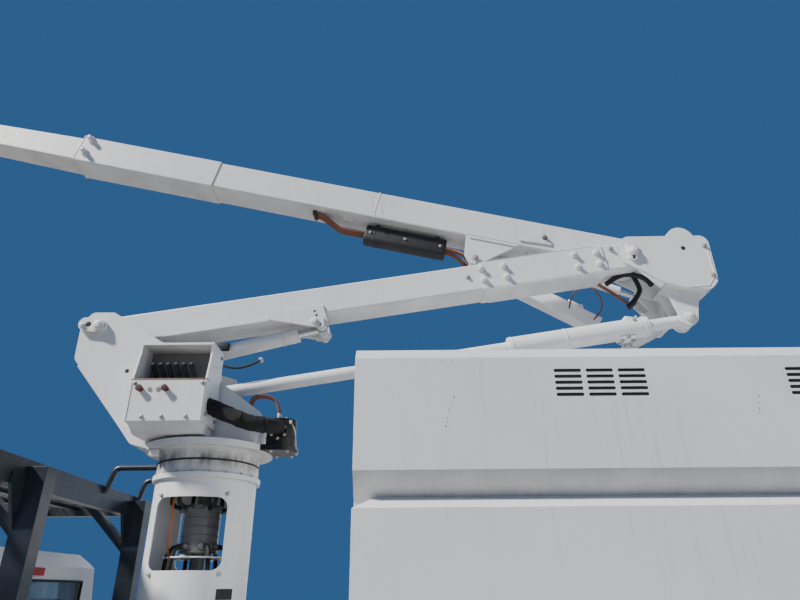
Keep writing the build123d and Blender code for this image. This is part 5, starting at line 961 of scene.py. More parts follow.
def cabinet_latches():
    for side, sign in SIDES:
        y = sign * 1.216
        reach = sorted((y, y + sign * 0.012))
        latch = box((-0.93, reach[0], 1.06), (-0.83, reach[1], 1.16), 0.004)
        with shaping(latch):
            pick(latch, "FACE", lambda face: abs(face.normal.y) > 0.9 and face.calc_area() > 0.005)
            bpy.ops.mesh.inset(thickness=0.012)
            bpy.ops.transform.translate(value=(0, -sign * 0.006, 0))
        low, high = y + sign * 0.008, y + sign * 0.026
        grip = line([(-0.91, low, 1.11), (-0.90, high, 1.11), (-0.86, high, 1.11), (-0.85, low, 1.11)], 0.006)
        complete("cabinet_latch_" + side, join(latch, grip), "zinc", "cabinet_door_" + side)


def side_chips():
    """Chipped spots on the left side, their sizes in millimetres."""
    chips = []
    for x, z, size in ((-1.503, 2.626, 4.5), (-1.493, 2.600, 3.2), (-1.483, 2.585, 2.6), (-1.478, 2.566, 4.2),
                       (-1.470, 2.526, 3.6), (-1.467, 2.507, 2.6), (-1.460, 2.487, 4.6), (-1.474, 2.491, 2.8),
                       (-2.952, 2.618, 4.2), (-2.947, 2.589, 3.0), (-2.939, 2.560, 4.4), (-2.931, 2.541, 2.8),
                       (-1.455, 2.806, 3.6), (-1.500, 2.808, 3.0)):
        chip = start("uv_sphere", radius=size / 1000, segments=10, ring_count=6, location=(x, 1.2195, z))
        with shaping(chip):
            take_all()
            bpy.ops.transform.resize(value=(0.8, 0.3, 1.5), center_override=(x, 1.2195, z))
        chips.append(chip)
    complete("side_chips", join(*chips), "cast", "chassis")


def bumper_lamps():
    lenses = [box((-4.646, sign * y - 0.018, 0.612), (-4.637, sign * y + 0.018, 0.668), 0.003)
              for sign in (-1, 1) for y in (0.75, 0.83, 0.87)]
    complete("bumper_lamp_lenses", join(*lenses), "red_lens", "chassis")


# Slewing column
SEAM_Z, FLANGE_Z = 2.528, 2.4515


def column_seams():
    """The slewing seam, the welds and the bolts of the column."""
    seam = hoop(0, 0, SEAM_Z, 0.3145, 0.0062, 96)
    weld = hoop(0, 0, FLANGE_Z, 0.318, 0.0055, 96)
    foot = hoop(0, 0, 0.932, 0.312, 0.008, 96)
    complete("slew_seam", seam, "oil", "chassis")
    complete("column_welds", join(weld, foot), "white", "chassis")
    ring = [(point, UP) for point, way in around(0, 0, FLANGE_Z, 0.3245, 20)]
    screws = [((x, y, z), (x, y, 0)) for x, y, z in ((0.183, 0.2502, 2.325), (-0.206, 0.2317, 2.331),
                                                     (-0.206, 0.2317, 1.892), (0.183, 0.2502, 1.892))]
    foot_bolts = [((sx * x, sy * y, 0.93), UP) for sx in (-1, 1) for sy in (-1, 1)
                  for x, y in ((0.37, 0.37), (0.37, 0.13), (0.13, 0.37))]
    heads = join(bolts_at(0.011, 0.010, screws), bolts_at(0.019, 0.018, foot_bolts),
                 bolts_at(0.0065, 0.007, ring))
    complete("column_bolts", heads, "zinc", "chassis")


def column_plate():
    """A blank plate bent round the column."""
    tag = start("grid", x_subdivisions=9, y_subdivisions=2, size=1)
    with shaping(tag):
        take_all()
        bpy.ops.mesh.extrude_region_move(TRANSFORM_OT_translate={"value": (0, 0, 0.02)})
    for vertex in tag.data.vertices:
        across, up, out = vertex.co
        turn = math.radians(140.5 + 20.0 * across)
        radius = 0.3127 if out > 0.01 else 0.3105
        vertex.co = (radius * math.cos(turn), radius * math.sin(turn), 1.787 + 0.056 * up)
    with shaping(tag):
        face_outwards()
    complete("column_plate", tag, "plastic", "chassis")


def column_hoses():
    """Hoses and cable seen in the column's window."""
    hoses = []
    for turn, reach in ((0.4, 0.155), (1.0, 0.165), (2.2, 0.16), (3.4, 0.15), (4.4, 0.165), (5.4, 0.155)):
        c, s = math.cos(turn), math.sin(turn)
        for run in (((0.085, 2.05), (reach, 2.06), (reach * 1.25, 1.96), (reach * 1.1, 1.70), (0.13, 1.2),
                     (0.12, 0.96)), ((0.09, 2.262), (0.19, 2.272), (0.20, 2.34), (0.17, 2.43))):
            hoses.append(line([(out * c, out * s, z) for out, z in run], 0.013))
    complete("column_hoses", join(*hoses), "black_hose", "chassis")
    cable = line([(0.15, 0.10, 2.43), (0.16, 0.12, 2.30), (0.13, 0.16, 2.16), (0.15, 0.12, 2.02),
                  (0.10, 0.15, 1.9), (0.08, 0.12, 1.2), (0.08, 0.10, 0.96)], 0.006)
    complete("column_cable", cable, "orange", "chassis")


def manifold_dress():
    """Bands and ports of the manifold, and the plate that holds it."""
    bands = [hoop(0, 0, z, 0.1105, 0.004, 48) for z in (2.02, 2.06, 2.11, 2.16, 2.21, 2.26, 2.28)]
    ports = [((x, y, z), way) for z in (2.05, 2.262) for (x, y, _), way in around(0, 0, 0, 0.108, 8, 0.5)]
    bands.append(bolts_at(0.016, 0.022, ports))
    complete("manifold_bands", join(*bands), "cast", "chassis")
    apron = flat_ring(0, 0, 1.985, 0.115, 0.205, 0.008)
    struts = [box((-0.012, y, 1.978), (0.012, y + 0.11, 1.99), 0.002) for y in (0.19, -0.3)]
    complete("manifold_plate", join(apron, *struts), "white", "chassis")


# Turret
SLEW_MOTOR, MOTOR_FACE_Z = (-0.465, 0.06), 2.725
LEVERS, LEVER_PITCH = 6, 0.0487
BOX_FACE = 0.499


def turret_cheeks():
    """Pin keepers, spare holes and welds of the turret's side plates."""
    domes = []
    for sign in (1, -1):
        face, way = sign * 0.2535, (0, sign, 0)
        domes.append(washer_plate((0.7935, face, 3.4335), way, 0.041, 0.007))
        domes.append(set_out(capped_stud(0.026, 0.024), [((0.7935, face + sign * 0.006, 3.4335), way)]))
        domes.append(bolts_at(0.015, 0.012, [((0.905, face, 3.436), way)]))
    complete("keeper_bolts", join(*domes), "white", "turret")
    # Painted shade: dark discs stand for the shaded insides of two holes in the plate.
    holes = [washer_plate((0.866, 0.2538, 3.444), LEFT, 0.019, 0.0012),
             washer_plate((0.556, 0.2198, 3.119), LEFT, 0.014, 0.0012)]
    complete("keeper_hole_shade", join(*holes), "dark", "turret")
    welds = [bar([(-0.33, y, 2.647), (0.33, y, 2.647)], 0.006) for y in (0.221, -0.221)]
    welds.append(hoop(0, 0, 2.6005, 0.3185, 0.006, 96))
    complete("turret_welds", join(*welds), "white", "turret")


def control_panel():
    """Knobs, buttons, bolts and edges of the control box, and a sheet of painted shade in its recess."""
    knob = start("cylinder", vertices=28, radius=0.017, depth=0.018, location=(0, 0, 0.009))
    with shaping(knob):
        pick(knob, "FACE", lambda face: face.normal.z > 0.9)
        bpy.ops.mesh.extrude_region_move(TRANSFORM_OT_translate={"value": (0, 0, 0.017)})
        bpy.ops.transform.resize(value=(1.3, 1.3, 1), center_override=(0, 0, 0.035))
        bevel(0.005, 3)
    spots = [((x, BOX_FACE, 2.906), LEFT) for x in (0.319, 0.166)]
    complete("panel_knobs", set_out(knob, spots), "knob", "turret")
    buttons = [rod((x, BOX_FACE, 2.9115), (x, BOX_FACE + 0.01, 2.9115), 0.0135, 0.003)
               for x in (0.270, 0.220)]
    complete("panel_buttons", join(*buttons), "button", "turret")
    bolts = [((x, 0.4995, z), LEFT) for x, z in ((0.286, 2.738), (0.168, 2.738), (0.024, 2.738),
                                                 (0.36, 2.945), (-0.05, 2.945))]
    bolts += [((x, y, z), way) for x, way in ((-0.0745, BACK), (0.3845, AHEAD))
              for y, z in ((0.27, 2.76), (0.46, 2.76), (0.27, 3.18))]
    complete("panel_bolts", bolts_at(0.0105, 0.008, bolts), "zinc", "turret")
    strip = box((-0.0755, 0.447, 2.9635), (0.3855, 0.5025, 2.972), 0.0025)
    complete("panel_ledge", strip, "shelf", "turret")
    # Painted shade: a grey sheet on the recess's back wall darkens it as shade would.
    shade_sheet = box((-0.062, 0.2882, 2.9778), (0.372, 0.2902, 3.2103), 0.0006, 1)
    complete("recess_shade_sheet", shade_sheet, "cast", "turret")
    lip = bar([(-0.0625, 0.451, 2.978), (-0.0625, 0.451, 3.2105), (0.3725, 0.451, 3.2105),
               (0.3725, 0.451, 2.978)], 0.0035)
    box_edges = [bar([(x, 0.501, 2.722), (x, 0.501, 2.952)], 0.0025) for x in (-0.066, 0.376)]
    complete("panel_lips", join(lip, *box_edges), "white", "turret")


def lever_bank():
    """Six levers on their spools, in place of the plain ones."""
    handle = start("cone", vertices=20, radius1=0.0115, radius2=0.0165, depth=0.086, location=(0, 0, 0.043))
    with shaping(handle):
        pick(handle, "FACE", lambda face: abs(face.normal.z) > 0.9 and len(face.verts) > 4)
        bevel(0.003, 2)
    tip = start("cylinder", vertices=18, radius=0.0105, depth=0.015, location=(0, 0, 0.093))
    with shaping(tip):
        pick(tip, "FACE", lambda face: face.normal.z > 0.9)
        bevel(0.004, 3)
    stem = rod((0, 0, -0.042), (0, 0, 0.006), 0.0055)
    way = (0.30, 0.36, 0.88)
    spots = [((0.055 + LEVER_PITCH * k, 0.344, 3.030), way) for k in range(LEVERS)]
    caps = set_out(tip, spots)
    grips = set_out(join(handle, stem), spots)
    block = box((0.012, 0.300, 2.978), (0.322, 0.392, 3.012), 0.004)
    spools = [rod((0.043 + LEVER_PITCH * k, 0.340, 3.008), (0.043 + LEVER_PITCH * k, 0.340, 3.022), 0.017)
              for k in range(LEVERS)]
    complete("lever_bank", join(grips, block, *spools), "plastic", "turret", stands_for=("levers",))
    complete("lever_tips", caps, "pale_tip", "turret", stands_for=("levers",))


def turret_hoses():
    """The sleeved bundle from the control box, and the two hoses of the slew motor."""
    path = [(-0.062, 0.40, 2.832), (-0.19, 0.40, 2.775), (-0.345, 0.36, 2.722), (-0.452, 0.27, 2.735),
            (-0.465, 0.147, 2.752)]
    bundle = line(path, 0.05, smooth=16)
    wrinkle = bundle.modifiers.new("wrinkle", "DISPLACE")
    cloud = bpy.data.textures.new("wrinkle", "CLOUDS")
    cloud.noise_scale = 0.035
    wrinkle.texture = cloud
    wrinkle.strength = 0.014
    wrinkle.mid_level = 0.6
    choose(bundle)
    bpy.ops.object.modifier_apply(modifier="wrinkle")
    ties = []
    for one, two in zip(path[:3], path[1:4]):
        middle = Vector(one) * 0.5 + Vector(two) * 0.5
        ties.append(ring_on(middle, Vector(two) - Vector(one), 0.0485, 0.004, 32, 6))
    complete("hose_bundle", join(bundle, *ties), "sleeve", "turret", stands_for=("turret_hoses",))
    runs = []
    for y in (0.150, 0.105):
        runs.append(line([(-0.262, y, 2.868), (-0.262, y, 2.935), (-0.30, y - 0.01, 2.972),
                          (-0.39, y - 0.02, 2.968), (-0.445, y - 0.03, 2.915),
                          (-0.456, y - 0.03, 2.812)], 0.0085))
    complete("motor_hoses", join(*runs), "copper_hose", "turret", stands_for=("turret_hoses",))
    ends = []
    for y in (0.150, 0.105):
        ends.append(bolts_at(0.014, 0.03, [((-0.455, y - 0.03, 2.813), UP)]))
        ends.append(bolts_at(0.014, 0.026, [((-0.262, y, 2.868), UP)]))
    complete("hose_ends", join(*ends), "zinc", "turret")


def slew_motor():
    """The motor's cover, bolts and wire, and two blocks at the slewing flange."""
    x, y = SLEW_MOTOR
    cover = [rod((x, y, 2.812), (x, y, 2.816), 0.07), hoop(x, y, 2.70, 0.0955, 0.004),
             hoop(x, y, 2.785, 0.0955, 0.004)]
    face = rod((x, y + 0.088, MOTOR_FACE_Z), (x, y + 0.112, MOTOR_FACE_Z), 0.058, 0.006, 40)
    with shaping(face):
        pick(face, "FACE", lambda part: part.normal.y > 0.99)
        bpy.ops.mesh.inset(thickness=0.02)
        bpy.ops.transform.translate(value=(0, -0.007, 0))
    rim_bolts = side_ring(x, y + 0.1105, MOTOR_FACE_Z, 0.047, 6, LEFT, 0.5)
    top_bolts = [(point, UP) for point, way in around(x, y, 2.8135, 0.078, 6)]
    lobe_bolts = [((x + 0.105 * math.cos(turn), y + 0.105 * math.sin(turn), 2.604), DOWN)
                  for turn in (1.2, 2.2, 3.14, 4.1, 5.1)]
    complete("motor_cover", join(face, *cover), "motor", "turret")
    heads = bolts_at(0.0075, 0.007, rim_bolts + top_bolts)
    lobes = bolts_at(0.010, 0.008, lobe_bolts)
    complete("motor_bolts", join(heads, lobes), "zinc", "turret")
    clip = box((-0.545, 0.128, 2.778), (-0.528, 0.150, 2.800), 0.003)
    wire = line([(-0.540, 0.138, 2.782), (-0.560, 0.140, 2.76), (-0.572, 0.120, 2.70), (-0.575, 0.105, 2.62)],
                0.004)
    complete("motor_wire", join(clip, wire), "wire", "turret")
    boots = [box((0.242, 0.222, 2.556), (0.302, 0.262, 2.598), 0.004),
             box((0.173, 0.222, 2.566), (0.203, 0.25, 2.594), 0.004)]
    complete("flange_blocks", join(*boots), "white", "turret")


# Lower boom, link and elbow
LOWER_PIN_X, LOWER_PIN_Z = 0.84, 3.44
LOWER_TILT, UPPER_TILT = math.radians(8.9), math.radians(-13.4)
LOWER_FRAME = Matrix.Translation((LOWER_PIN_X, 0, LOWER_PIN_Z)) @ Matrix.Rotation(LOWER_TILT, 4, "Y")
UPPER_Y, UPPER_PIN_X, UPPER_PIN_Z = -0.295, -3.35, 4.148
UPPER_FRAME = (Matrix.Translation((UPPER_PIN_X, UPPER_Y, UPPER_PIN_Z))
               @ Matrix.Rotation(UPPER_TILT, 4, "Y"))
LINK_FOOT_X, LINK_FOOT_Z = 0.490, 2.950
LINK_HEAD_X, LINK_HEAD_Z = -3.314, 3.545


def laid(piece, place):
    """A piece drawn along a boom's own axis, laid on the boom."""
    piece.data.transform(place)
    return piece


def ring_seam(section, low, high, half, thick):
    """A weld bead around a box beam, in the beam's own place."""
    return bead([(section, -half, low), (section, half, low), (section, half, high), (section, -half, high)],
                thick)


def lower_bolts():
    """Studs, bolts and lug holes of the lower boom."""
    studs = [((x, 0.122, z), LEFT)
             for x, z in ((-1.846, 3.919), (-2.012, 3.94), (-1.862, 3.827), (-2.03, 3.851),
                          (-2.541, 4.029), (-2.706, 4.045), (-2.558, 3.93), (-2.719, 3.954))]
    flat = bolts_at(0.0165, 0.004, [((x, -0.122, z), RIGHT) for (x, _, z), _ in studs])
    tall = set_out(capped_stud(0.0165, 0.036), studs)
    complete("boom_studs", join(tall, flat), "white", "lower_boom")
    places = ((-1.746, 0.1145, 3.853), (-2.82, 0.1225, 4.08), (-0.663, 0.149, 3.493))
    singles = [((x, sign * y, z), (0, sign, 0)) for x, y, z in places for sign in (1, -1)]
    complete("boom_bolts", bolts_at(0.014, 0.012, singles), "zinc", "lower_boom")
    dome = set_out(capped_stud(0.022, 0.02),
                   [((-0.6515, 0.1485, 3.498), LEFT), ((-0.6515, -0.1485, 3.498), RIGHT)])
    # Painted shade: dark discs stand for the shaded insides of the lug holes.
    holes = [washer_plate((x, 0.1488, z), LEFT, 0.009, 0.001) for x, z in ((-0.649, 3.577), (-0.665, 3.544))]
    complete("ram_pin_bolts", dome, "white", "lower_boom")
    complete("ram_lug_hole_shade", join(*holes), "dark", "lower_boom")


def lower_seams():
    beads = [laid(ring_seam(-2.7215, -0.105, 0.105, 0.1155, 0.0042), LOWER_FRAME)]
    beads += [laid(bar([(-2.78, y, t), (-3.60, y, t)], 0.0035), LOWER_FRAME)
              for y in (0.1205, -0.1205) for t in (0.1105, -0.1105)]
    beads += [laid(bar([(-0.42, y, -0.101), (-1.30, y, -0.101)], 0.004), LOWER_FRAME)
              for y in (0.1165, -0.1165)]
    complete("lower_boom_welds", join(*beads), "white", "lower_boom")


def lower_lines():
    runs = [laid(line([(-0.20, y, 0.113), (-1.2, y, 0.1135), (-2.5, y, 0.1135), (-2.72, y, 0.122),
                       (-3.50, y, 0.122)], 0.0075), LOWER_FRAME) for y in (-0.02, 0.012, 0.044)]
    complete("boom_top_lines", join(*runs), "black_hose", "lower_boom")
    clamps = []
    for s in (0.5, 1.1, 1.7, 2.3, 2.9, 3.4):
        low = 0.104 if s < 2.7 else 0.112
        clamps.append(laid(box((-s - 0.02, -0.045, low), (-s + 0.02, 0.069, low + 0.021), 0.004),
                           LOWER_FRAME))
    complete("boom_line_clamps", join(*clamps), "zinc", "lower_boom")


def link_dress():
    foot = Vector((LINK_FOOT_X, 0, LINK_FOOT_Z))
    run = Vector((LINK_HEAD_X - LINK_FOOT_X, 0, LINK_HEAD_Z - LINK_FOOT_Z)).normalized()
    bands = [ring_on(foot + run * s, run, 0.0745, 0.004, 40) for s in (2.56, 2.95, 3.53)]
    complete("link_welds", join(*bands), "white", "levelling_link")
    saddle = box((-2.985, -0.035, 3.505), (-2.855, 0.060, 3.552), 0.008, 3)
    hanger = box((-2.925, -0.045, 3.388), (-2.800, 0.050, 3.425), 0.008, 3)
    with shaping(saddle):
        take_all()
        bpy.ops.transform.rotate(value=LOWER_TILT, orient_axis="Y", center_override=(-2.92, 0, 3.53))
    heads = [((x, 0.02, z), UP) for x, z in ((-2.955, 3.560), (-2.885, 3.549))]
    heads += [((x, y, 3.389), DOWN) for x in (-2.90, -2.825) for y in (-0.025, 0.03)]
    heads += [((-2.92, 0.0595, 3.528), LEFT), ((-2.86, 0.0495, 3.406), LEFT)]
    complete("link_clamp", join(saddle, hanger), "white", "levelling_link")
    complete("link_clamp_bolts", bolts_at(0.013, 0.011, heads), "zinc", "levelling_link")


def elbow_dress():
    face = 0.1715
    dome = join(washer_plate((-2.968, face, 4.036), LEFT, 0.040, 0.006),
                set_out(capped_stud(0.025, 0.022), [((-2.968, face + 0.005, 4.036), LEFT)]))
    complete("elbow_pin_cap", dome, "white", "elbow")
    # Painted shade: dark discs stand for the shaded insides of the elbow's holes.
    holes = [washer_plate((-2.962, face, 3.977), LEFT, 0.012, 0.001),
             washer_plate((-3.346, 0.1502, 4.065), LEFT, 0.017, 0.001)]
    complete("elbow_hole_shade", join(*holes), "dark", "elbow")
    bolts = [((x, y, z), way) for y, way in ((0.1495, LEFT), (-0.1495, RIGHT))
             for x, z in ((-3.505, 4.081), (-3.515, 3.837))]
    bolts += side_ring(UPPER_PIN_X, -0.4438, UPPER_PIN_Z, 0.072, 6, RIGHT)
    for x, z in ((-3.010, 3.490), (-3.123, 3.875)):
        bolts += [((x, -0.2208, z), LEFT), ((x, -0.3692, z), RIGHT)]
    complete("elbow_bolts", bolts_at(0.0145, 0.012, bolts), "zinc", "elbow")
    boss = []
    for sign in (1, -1):
        way = (0, sign, 0)
        boss.append(washer_plate((LINK_HEAD_X, sign * 0.093, LINK_HEAD_Z), way, 0.03, 0.008))
        boss.append(bolts_at(0.016, 0.014, [((LINK_HEAD_X, sign * 0.1, LINK_HEAD_Z), way)]))
    welds = [bar([(-3.52, y, 4.11), (-3.53, y, 3.84), (-3.47, y, 3.752), (-3.32, y, 3.742)], 0.004)
             for y in (0.1505, -0.1505)]
    complete("link_pin_caps", join(*boss, *welds), "white", "elbow")


def elbow_hoses():
    arch = line([(-2.79, 0.0, 3.845), (-2.84, 0.0, 3.885), (-2.92, 0.0, 3.925), (-3.01, 0.0, 3.928),
                 (-3.10, 0.0, 3.888), (-3.128, 0.0, 3.83)], 0.019)
    complete("boom_end_hose", arch, "black_hose", "lower_boom")
    drop = line([(-3.00, -0.02, 3.95), (-3.035, -0.02, 3.86), (-3.045, -0.02, 3.78), (-2.955, -0.04, 3.685)],
                0.018)
    cuff = line([(-2.985, -0.03, 3.715), (-2.955, -0.04, 3.685), (-2.935, -0.05, 3.675)], 0.022)
    complete("elbow_drop_hose", join(drop, cuff), "black_hose", "elbow")
    runs = [line([(-2.745, y, 3.905), (-2.86, y, 3.815), (-2.95, y * 0.7, 3.715)], 0.0065)
            for y in (-0.10, -0.075)]
    complete("elbow_thin_hoses", join(*runs), "copper_hose", "lower_boom")
    loop = line([(-2.56, -0.236, 3.755), (-2.585, -0.226, 3.86), (-2.662, -0.22, 3.935),
                 (-2.744, -0.22, 3.955), (-2.812, -0.22, 3.86), (-2.820, -0.224, 3.76),
                 (-2.772, -0.230, 3.695), (-2.735, -0.236, 3.66)], 0.0065)
    complete("ram_loop_hose", loop, "copper_hose", "upper_barrel")


def ram_valve():
    block = box((-0.065, -0.036, 0.058), (0.065, 0.036, 0.092), 0.004)
    bolts = bolts_at(0.009, 0.009, [((x, y, 0.091), UP) for x in (-0.045, 0.045) for y in (-0.02, 0.02)])
    place = Matrix.Translation((-2.585, UPPER_Y, 3.739)) @ Matrix.Rotation(math.radians(-30.4), 4, "Y")
    complete("ram_valve", laid(block, place), "white", "upper_barrel")
    complete("ram_valve_bolts", laid(bolts, place), "zinc", "upper_barrel")


# Upper boom
TIP_START, TIP_LENGTH = 5.04, 2.274
TIP_HALF_ROOT, TIP_HALF_END = 0.119, 0.085


def upper_fastenings():
    """Studs, welds, ear and pin bolts of the upper boom."""
    spots = [((x, y, z), way) for y, way in ((-0.1625, LEFT), (-0.4275, RIGHT))
             for x, z in ((1.455, 5.396), (1.488, 5.262))]
    complete("sleeve_studs", set_out(capped_stud(0.021, 0.055), spots), "white", "upper_boom")
    beads = [laid(ring_seam(s, -0.125, 0.125, 0.1255, 0.0045), UPPER_FRAME) for s in (3.7625, 2.35)]
    beads.append(laid(ring_seam(5.036, -0.133, 0.133, 0.1335, 0.004), UPPER_FRAME))
    beads += [laid(bar([(1.16, y, -0.1245), (1.57, y, -0.1245)], 0.005), UPPER_FRAME)
              for y in (0.142, -0.142)]
    complete("upper_boom_welds", join(*beads), "white", "upper_boom")
    ear = cut_plate([(-2.214, -0.1705, 4.331), (-2.399, -0.1705, 4.424), (-2.475, -0.1705, 4.282)],
                    (0, 0.014, 0))
    pin = bolts_at(0.017, 0.014, [((-2.421, -0.157, 4.352), LEFT)])
    complete("boom_ear", ear, "white", "upper_boom")
    complete("boom_ear_bolt", pin, "cast", "upper_boom")
    bolts = [laid(bolts_at(0.02, 0.010, [((s, y, t), (0, y, 0))]), UPPER_FRAME)
             for s, t, y in ((1.464, -0.326, 0.1405), (1.464, -0.326, -0.1405), (1.0, -0.175, 0.0505),
                             (1.0, -0.175, -0.0505), (7.314, 0.0, 0.118), (7.314, 0.0, -0.118))]
    complete("upper_pin_bolts", join(*bolts[:4]), "zinc", "upper_boom")
    complete("tip_pin_bolts", join(*bolts[4:]), "zinc", "platform_bracket")


def hose_cover():
    """The box that carries the hoses beneath the upper boom."""
    cover = box((1.712, -0.058, -0.307), (2.400, 0.058, -0.157), 0.016, 3)
    with shaping(cover):
        pick(cover, "VERT", lambda vertex: vertex.co.z > -0.2)
        bpy.ops.transform.resize(value=(0.985, 1, 1), center_override=(2.056, 0, -0.157))
    screws = [((s, y, -0.232), (0, y, 0)) for s in (1.76, 2.056, 2.35) for y in (0.0578, -0.0578)]
    straps = [ring_seam(s, -0.3075, -0.1565, 0.0585, 0.003) for s in (1.80, 2.31)]
    seam = [bar([(1.72, y, -0.285), (2.39, y, -0.285)], 0.0025) for y in (0.0585, -0.0585)]
    hangers = [box((s - 0.015, -0.02, -0.162), (s + 0.015, 0.02, -0.1245), 0.002) for s in (1.802, 2.31)]
    heads = laid(bolts_at(0.009, 0.007, screws), UPPER_FRAME)
    body = laid(join(cover, *straps, *seam, *hangers), UPPER_FRAME)
    complete("hose_cover", body, "strap", "upper_boom", stands_for=("boom_hoses",))
    complete("hose_cover_screws", heads, "zinc", "upper_boom")


def boom_hose_runs():
    runs = []
    for y, end in ((-0.039, -0.086), (-0.013, -0.060), (0.013, 0.060), (0.039, 0.086)):
        runs.append(laid(line([(2.370, y, -0.232), (2.52, y, -0.236), (2.60, y, -0.236),
                               (2.68, y * 1.1, -0.20), (2.80, y, -0.132),
                               (2.86, y, -0.128)], 0.0105), UPPER_FRAME))
        runs.append(laid(line([(1.742, y, -0.232), (1.667, y, -0.238), (1.60, (y + end) / 2, -0.255),
                               (1.54, end, -0.29), (1.494, end, -0.318)], 0.0105), UPPER_FRAME))
    complete("boom_hose_runs", join(*runs), "copper_hose", "upper_boom", stands_for=("boom_hoses",))
    strap = laid(box((2.838, -0.062, -0.148), (2.872, 0.062, -0.124), 0.006, 3), UPPER_FRAME)
    tails = [laid(bar([(2.85, 0.05 * k, -0.146), (2.86 + 0.01 * k, 0.052 * k, -0.168)], 0.0025),
                  UPPER_FRAME) for k in (-1, 1)]
    complete("hose_strap", join(strap, *tails), "strap", "upper_boom")
    hanger = laid(box((2.52, 0.06, -0.165), (2.60, 0.064, -0.124), 0.0015, 1), UPPER_FRAME)
    complete("hose_hanger", hanger, "white", "upper_boom")


def boom_tip_seams():
    """Seams around the tapered tip, just proud of it."""
    joints = []
    for s in (TIP_START + 0.005, 6.2):
        half = TIP_HALF_ROOT - (TIP_HALF_ROOT - TIP_HALF_END) * (s - TIP_START) / TIP_LENGTH
        joints.append(laid(ring_seam(s, -half - 0.001, half + 0.001, half + 0.001, 0.004), UPPER_FRAME))
    complete("boom_tip_seams", join(*joints), "resin", "upper_boom")


def lift_ram_dress():
    """Weld rings, valve, fitting and hose of the lift ram."""
    base, head = Vector((0.600, 0, 3.175)), Vector((-0.694, 0, 3.500))
    run = (head - base).normalized()
    rings = [ring_on(base + run * s, run, 0.0535, thick, 36)
             for s, thick in ((0.09, 0.003), (0.14, 0.004), (1.05, 0.004))]
    complete("lift_gland", join(*rings), "white", "lift_barrel")
    valve = box((-0.053, 0.045, 3.318), (0.043, 0.082, 3.372), 0.005)
    fitting = rod((-0.287, 0.045, 3.245), (-0.287, 0.082, 3.245), 0.014)
    hose = line([(-0.287, 0.075, 3.243), (-0.25, 0.082, 3.215), (-0.143, 0.082, 3.176), (-0.01, 0.07, 3.205),
                 (0.06, 0.06, 3.25)], 0.0085)
    complete("lift_ram_valve", join(valve, hose), "black_hose", "lift_barrel")
    complete("lift_ram_fitting", fitting, "zinc", "lift_barrel")


# Limb guard over the cab
DECK_PITCH = 0.05


def deck_edge():
    """A toothed strip along each side of the deck."""
    plates = []
    for sign in (-1, 1):
        y = sign * 1.1005
        teeth = [(0.80 + DECK_PITCH * k + dx, y, z) for k in range(44)
                 for dx, z in ((0, 2.452), (0.012, 2.468), (0.038, 2.468))]
        plates.append(cut_plate([(0.78, y, 2.43), *teeth, (2.99, y, 2.43)], (0, sign * 0.004, 0), 0.0006))
    complete("deck_edge", join(*plates), "rack", "chassis")


def deck_mesh():
    wires = [box((x, -1.035, 2.416), (x + 0.005, 1.035, 2.421), 0.001, 1)
             for x in [0.86 + DECK_PITCH * k for k in range(42)]]
    wires += [box((0.84, y, 2.410), (2.94, y + 0.005, 2.415), 0.001, 1)
              for y in [DECK_PITCH * k for k in range(-20, 21)]]
    complete("deck_mesh", join(*wires), "rack", "chassis")


def guard_bolts():
    heads = []
    for sign in (-1, 1):
        way = (0, sign, 0)
        for dx in (-0.035, 0.035):
            heads += [((0.692 + dx, sign * 0.7305, z), way) for z in (1.02, 0.99)]
        heads += [((x, sign * 1.1, 2.375), way) for x in (0.80, 1.9, 2.95)]
    complete("guard_bolts", bolts_at(0.011, 0.009, heads), "zinc", "chassis")


# Bucket
BUCKET_X, BUCKET_TOP = 4.345, 6.393


def bucket_ribs():
    """Three ribs a side, but for the middle of the side with the mount."""
    ribs = []
    for turn in range(4):
        for offset in (-0.17, 0.0, 0.17):
            if turn == 2 and offset == 0.0:
                continue
            rib = start("cube", size=1, location=(0.2635, offset, 5.83), scale=(0.014, 0.045, 0.86))
            with shaping(rib):
                pick(rib, "VERT", lambda vertex: vertex.co.z > 6.0)
                bpy.ops.transform.translate(value=(0.0135, 0, 0))
                take_all()
                bevel(0.006, 3)
            rib.data.transform(Matrix.Translation((BUCKET_X, UPPER_Y, 0))
                               @ Matrix.Rotation(turn * math.pi / 2, 4, "Z"))
            ribs.append(rib)
    complete("bucket_ribs", join(*ribs), "resin", "bucket")


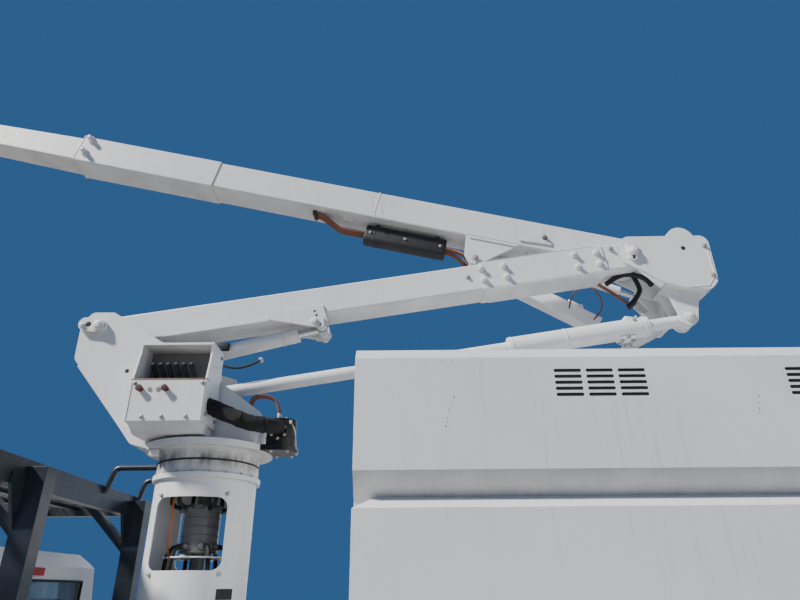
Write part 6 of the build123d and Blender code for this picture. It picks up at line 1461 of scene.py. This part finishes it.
def bucket_fittings():
    step = box((4.15, -0.0285, 5.80), (4.54, 0.0045, 5.845), 0.008, 3)
    complete("bucket_step", step, "plastic", "bucket")
    mount = [((3.952, y, 5.949), UP) for y in (-0.33, -0.26)]
    bolts = [((4.061, y, z), BACK) for y in (-0.355, -0.235) for z in (5.62, 5.72, 5.82, 5.92)]
    complete("bucket_bolts", bolts_at(0.013, 0.010, mount + bolts), "zinc", "bucket")
    console = box((4.085, -0.42, 6.20), (4.165, -0.17, 6.33), 0.015, 3)
    sticks = []
    for y in (-0.37, -0.295, -0.22):
        sticks.append(rod((4.13, y, 6.325), (4.14, y, 6.375), 0.006))
        sticks.append(rod((4.139, y, 6.362), (4.142, y, 6.388), 0.013, 0.005))
    complete("bucket_controls", join(console, *sticks), "plastic", "bucket")
    near, far, z = 0.24, 0.298, BUCKET_TOP - 0.041
    corners = ((-far, -near), (-near, -far), (near, -far), (far, -near), (far, near), (near, far),
               (-near, far), (-far, near))
    rim = bead([(BUCKET_X + x, UPPER_Y + y, z) for x, y in corners], 0.006)
    complete("bucket_rim", rim, "resin", "bucket")
    mat = box((4.10, -0.54, 5.332), (4.59, -0.05, 5.342), 0.004)
    complete("bucket_mat", mat, "rubber", "bucket")
    ring = [hoop(3.915, UPPER_Y, z, 0.0535, 0.004, 32) for z in (5.66, 5.90)]
    complete("rotator_rings", join(*ring), "white", "platform_bracket")


set_camera()
set_studio()
finish_nodes()
for dress in (wheel_dress, wheel_nuts, door_dress, mirror_dress, windscreen_dress, roof_lamps, tank_dress,
              interior_dress, grille_dress, headlamp_dress, front_fastenings, frame_dress, mud_flaps,
              tail_pipe, body_sides, body_marker_lamps, tailgate_dress, cabinet_latches, side_chips,
              bumper_lamps, column_seams, column_plate, column_hoses, manifold_dress, turret_cheeks,
              control_panel, lever_bank, turret_hoses, slew_motor, lower_bolts, lower_seams, lower_lines,
              link_dress, elbow_dress, elbow_hoses, ram_valve, upper_fastenings, hose_cover,
              boom_hose_runs, boom_tip_seams, lift_ram_dress, deck_edge, deck_mesh, guard_bolts, bucket_ribs,
              bucket_fittings):
    dress()
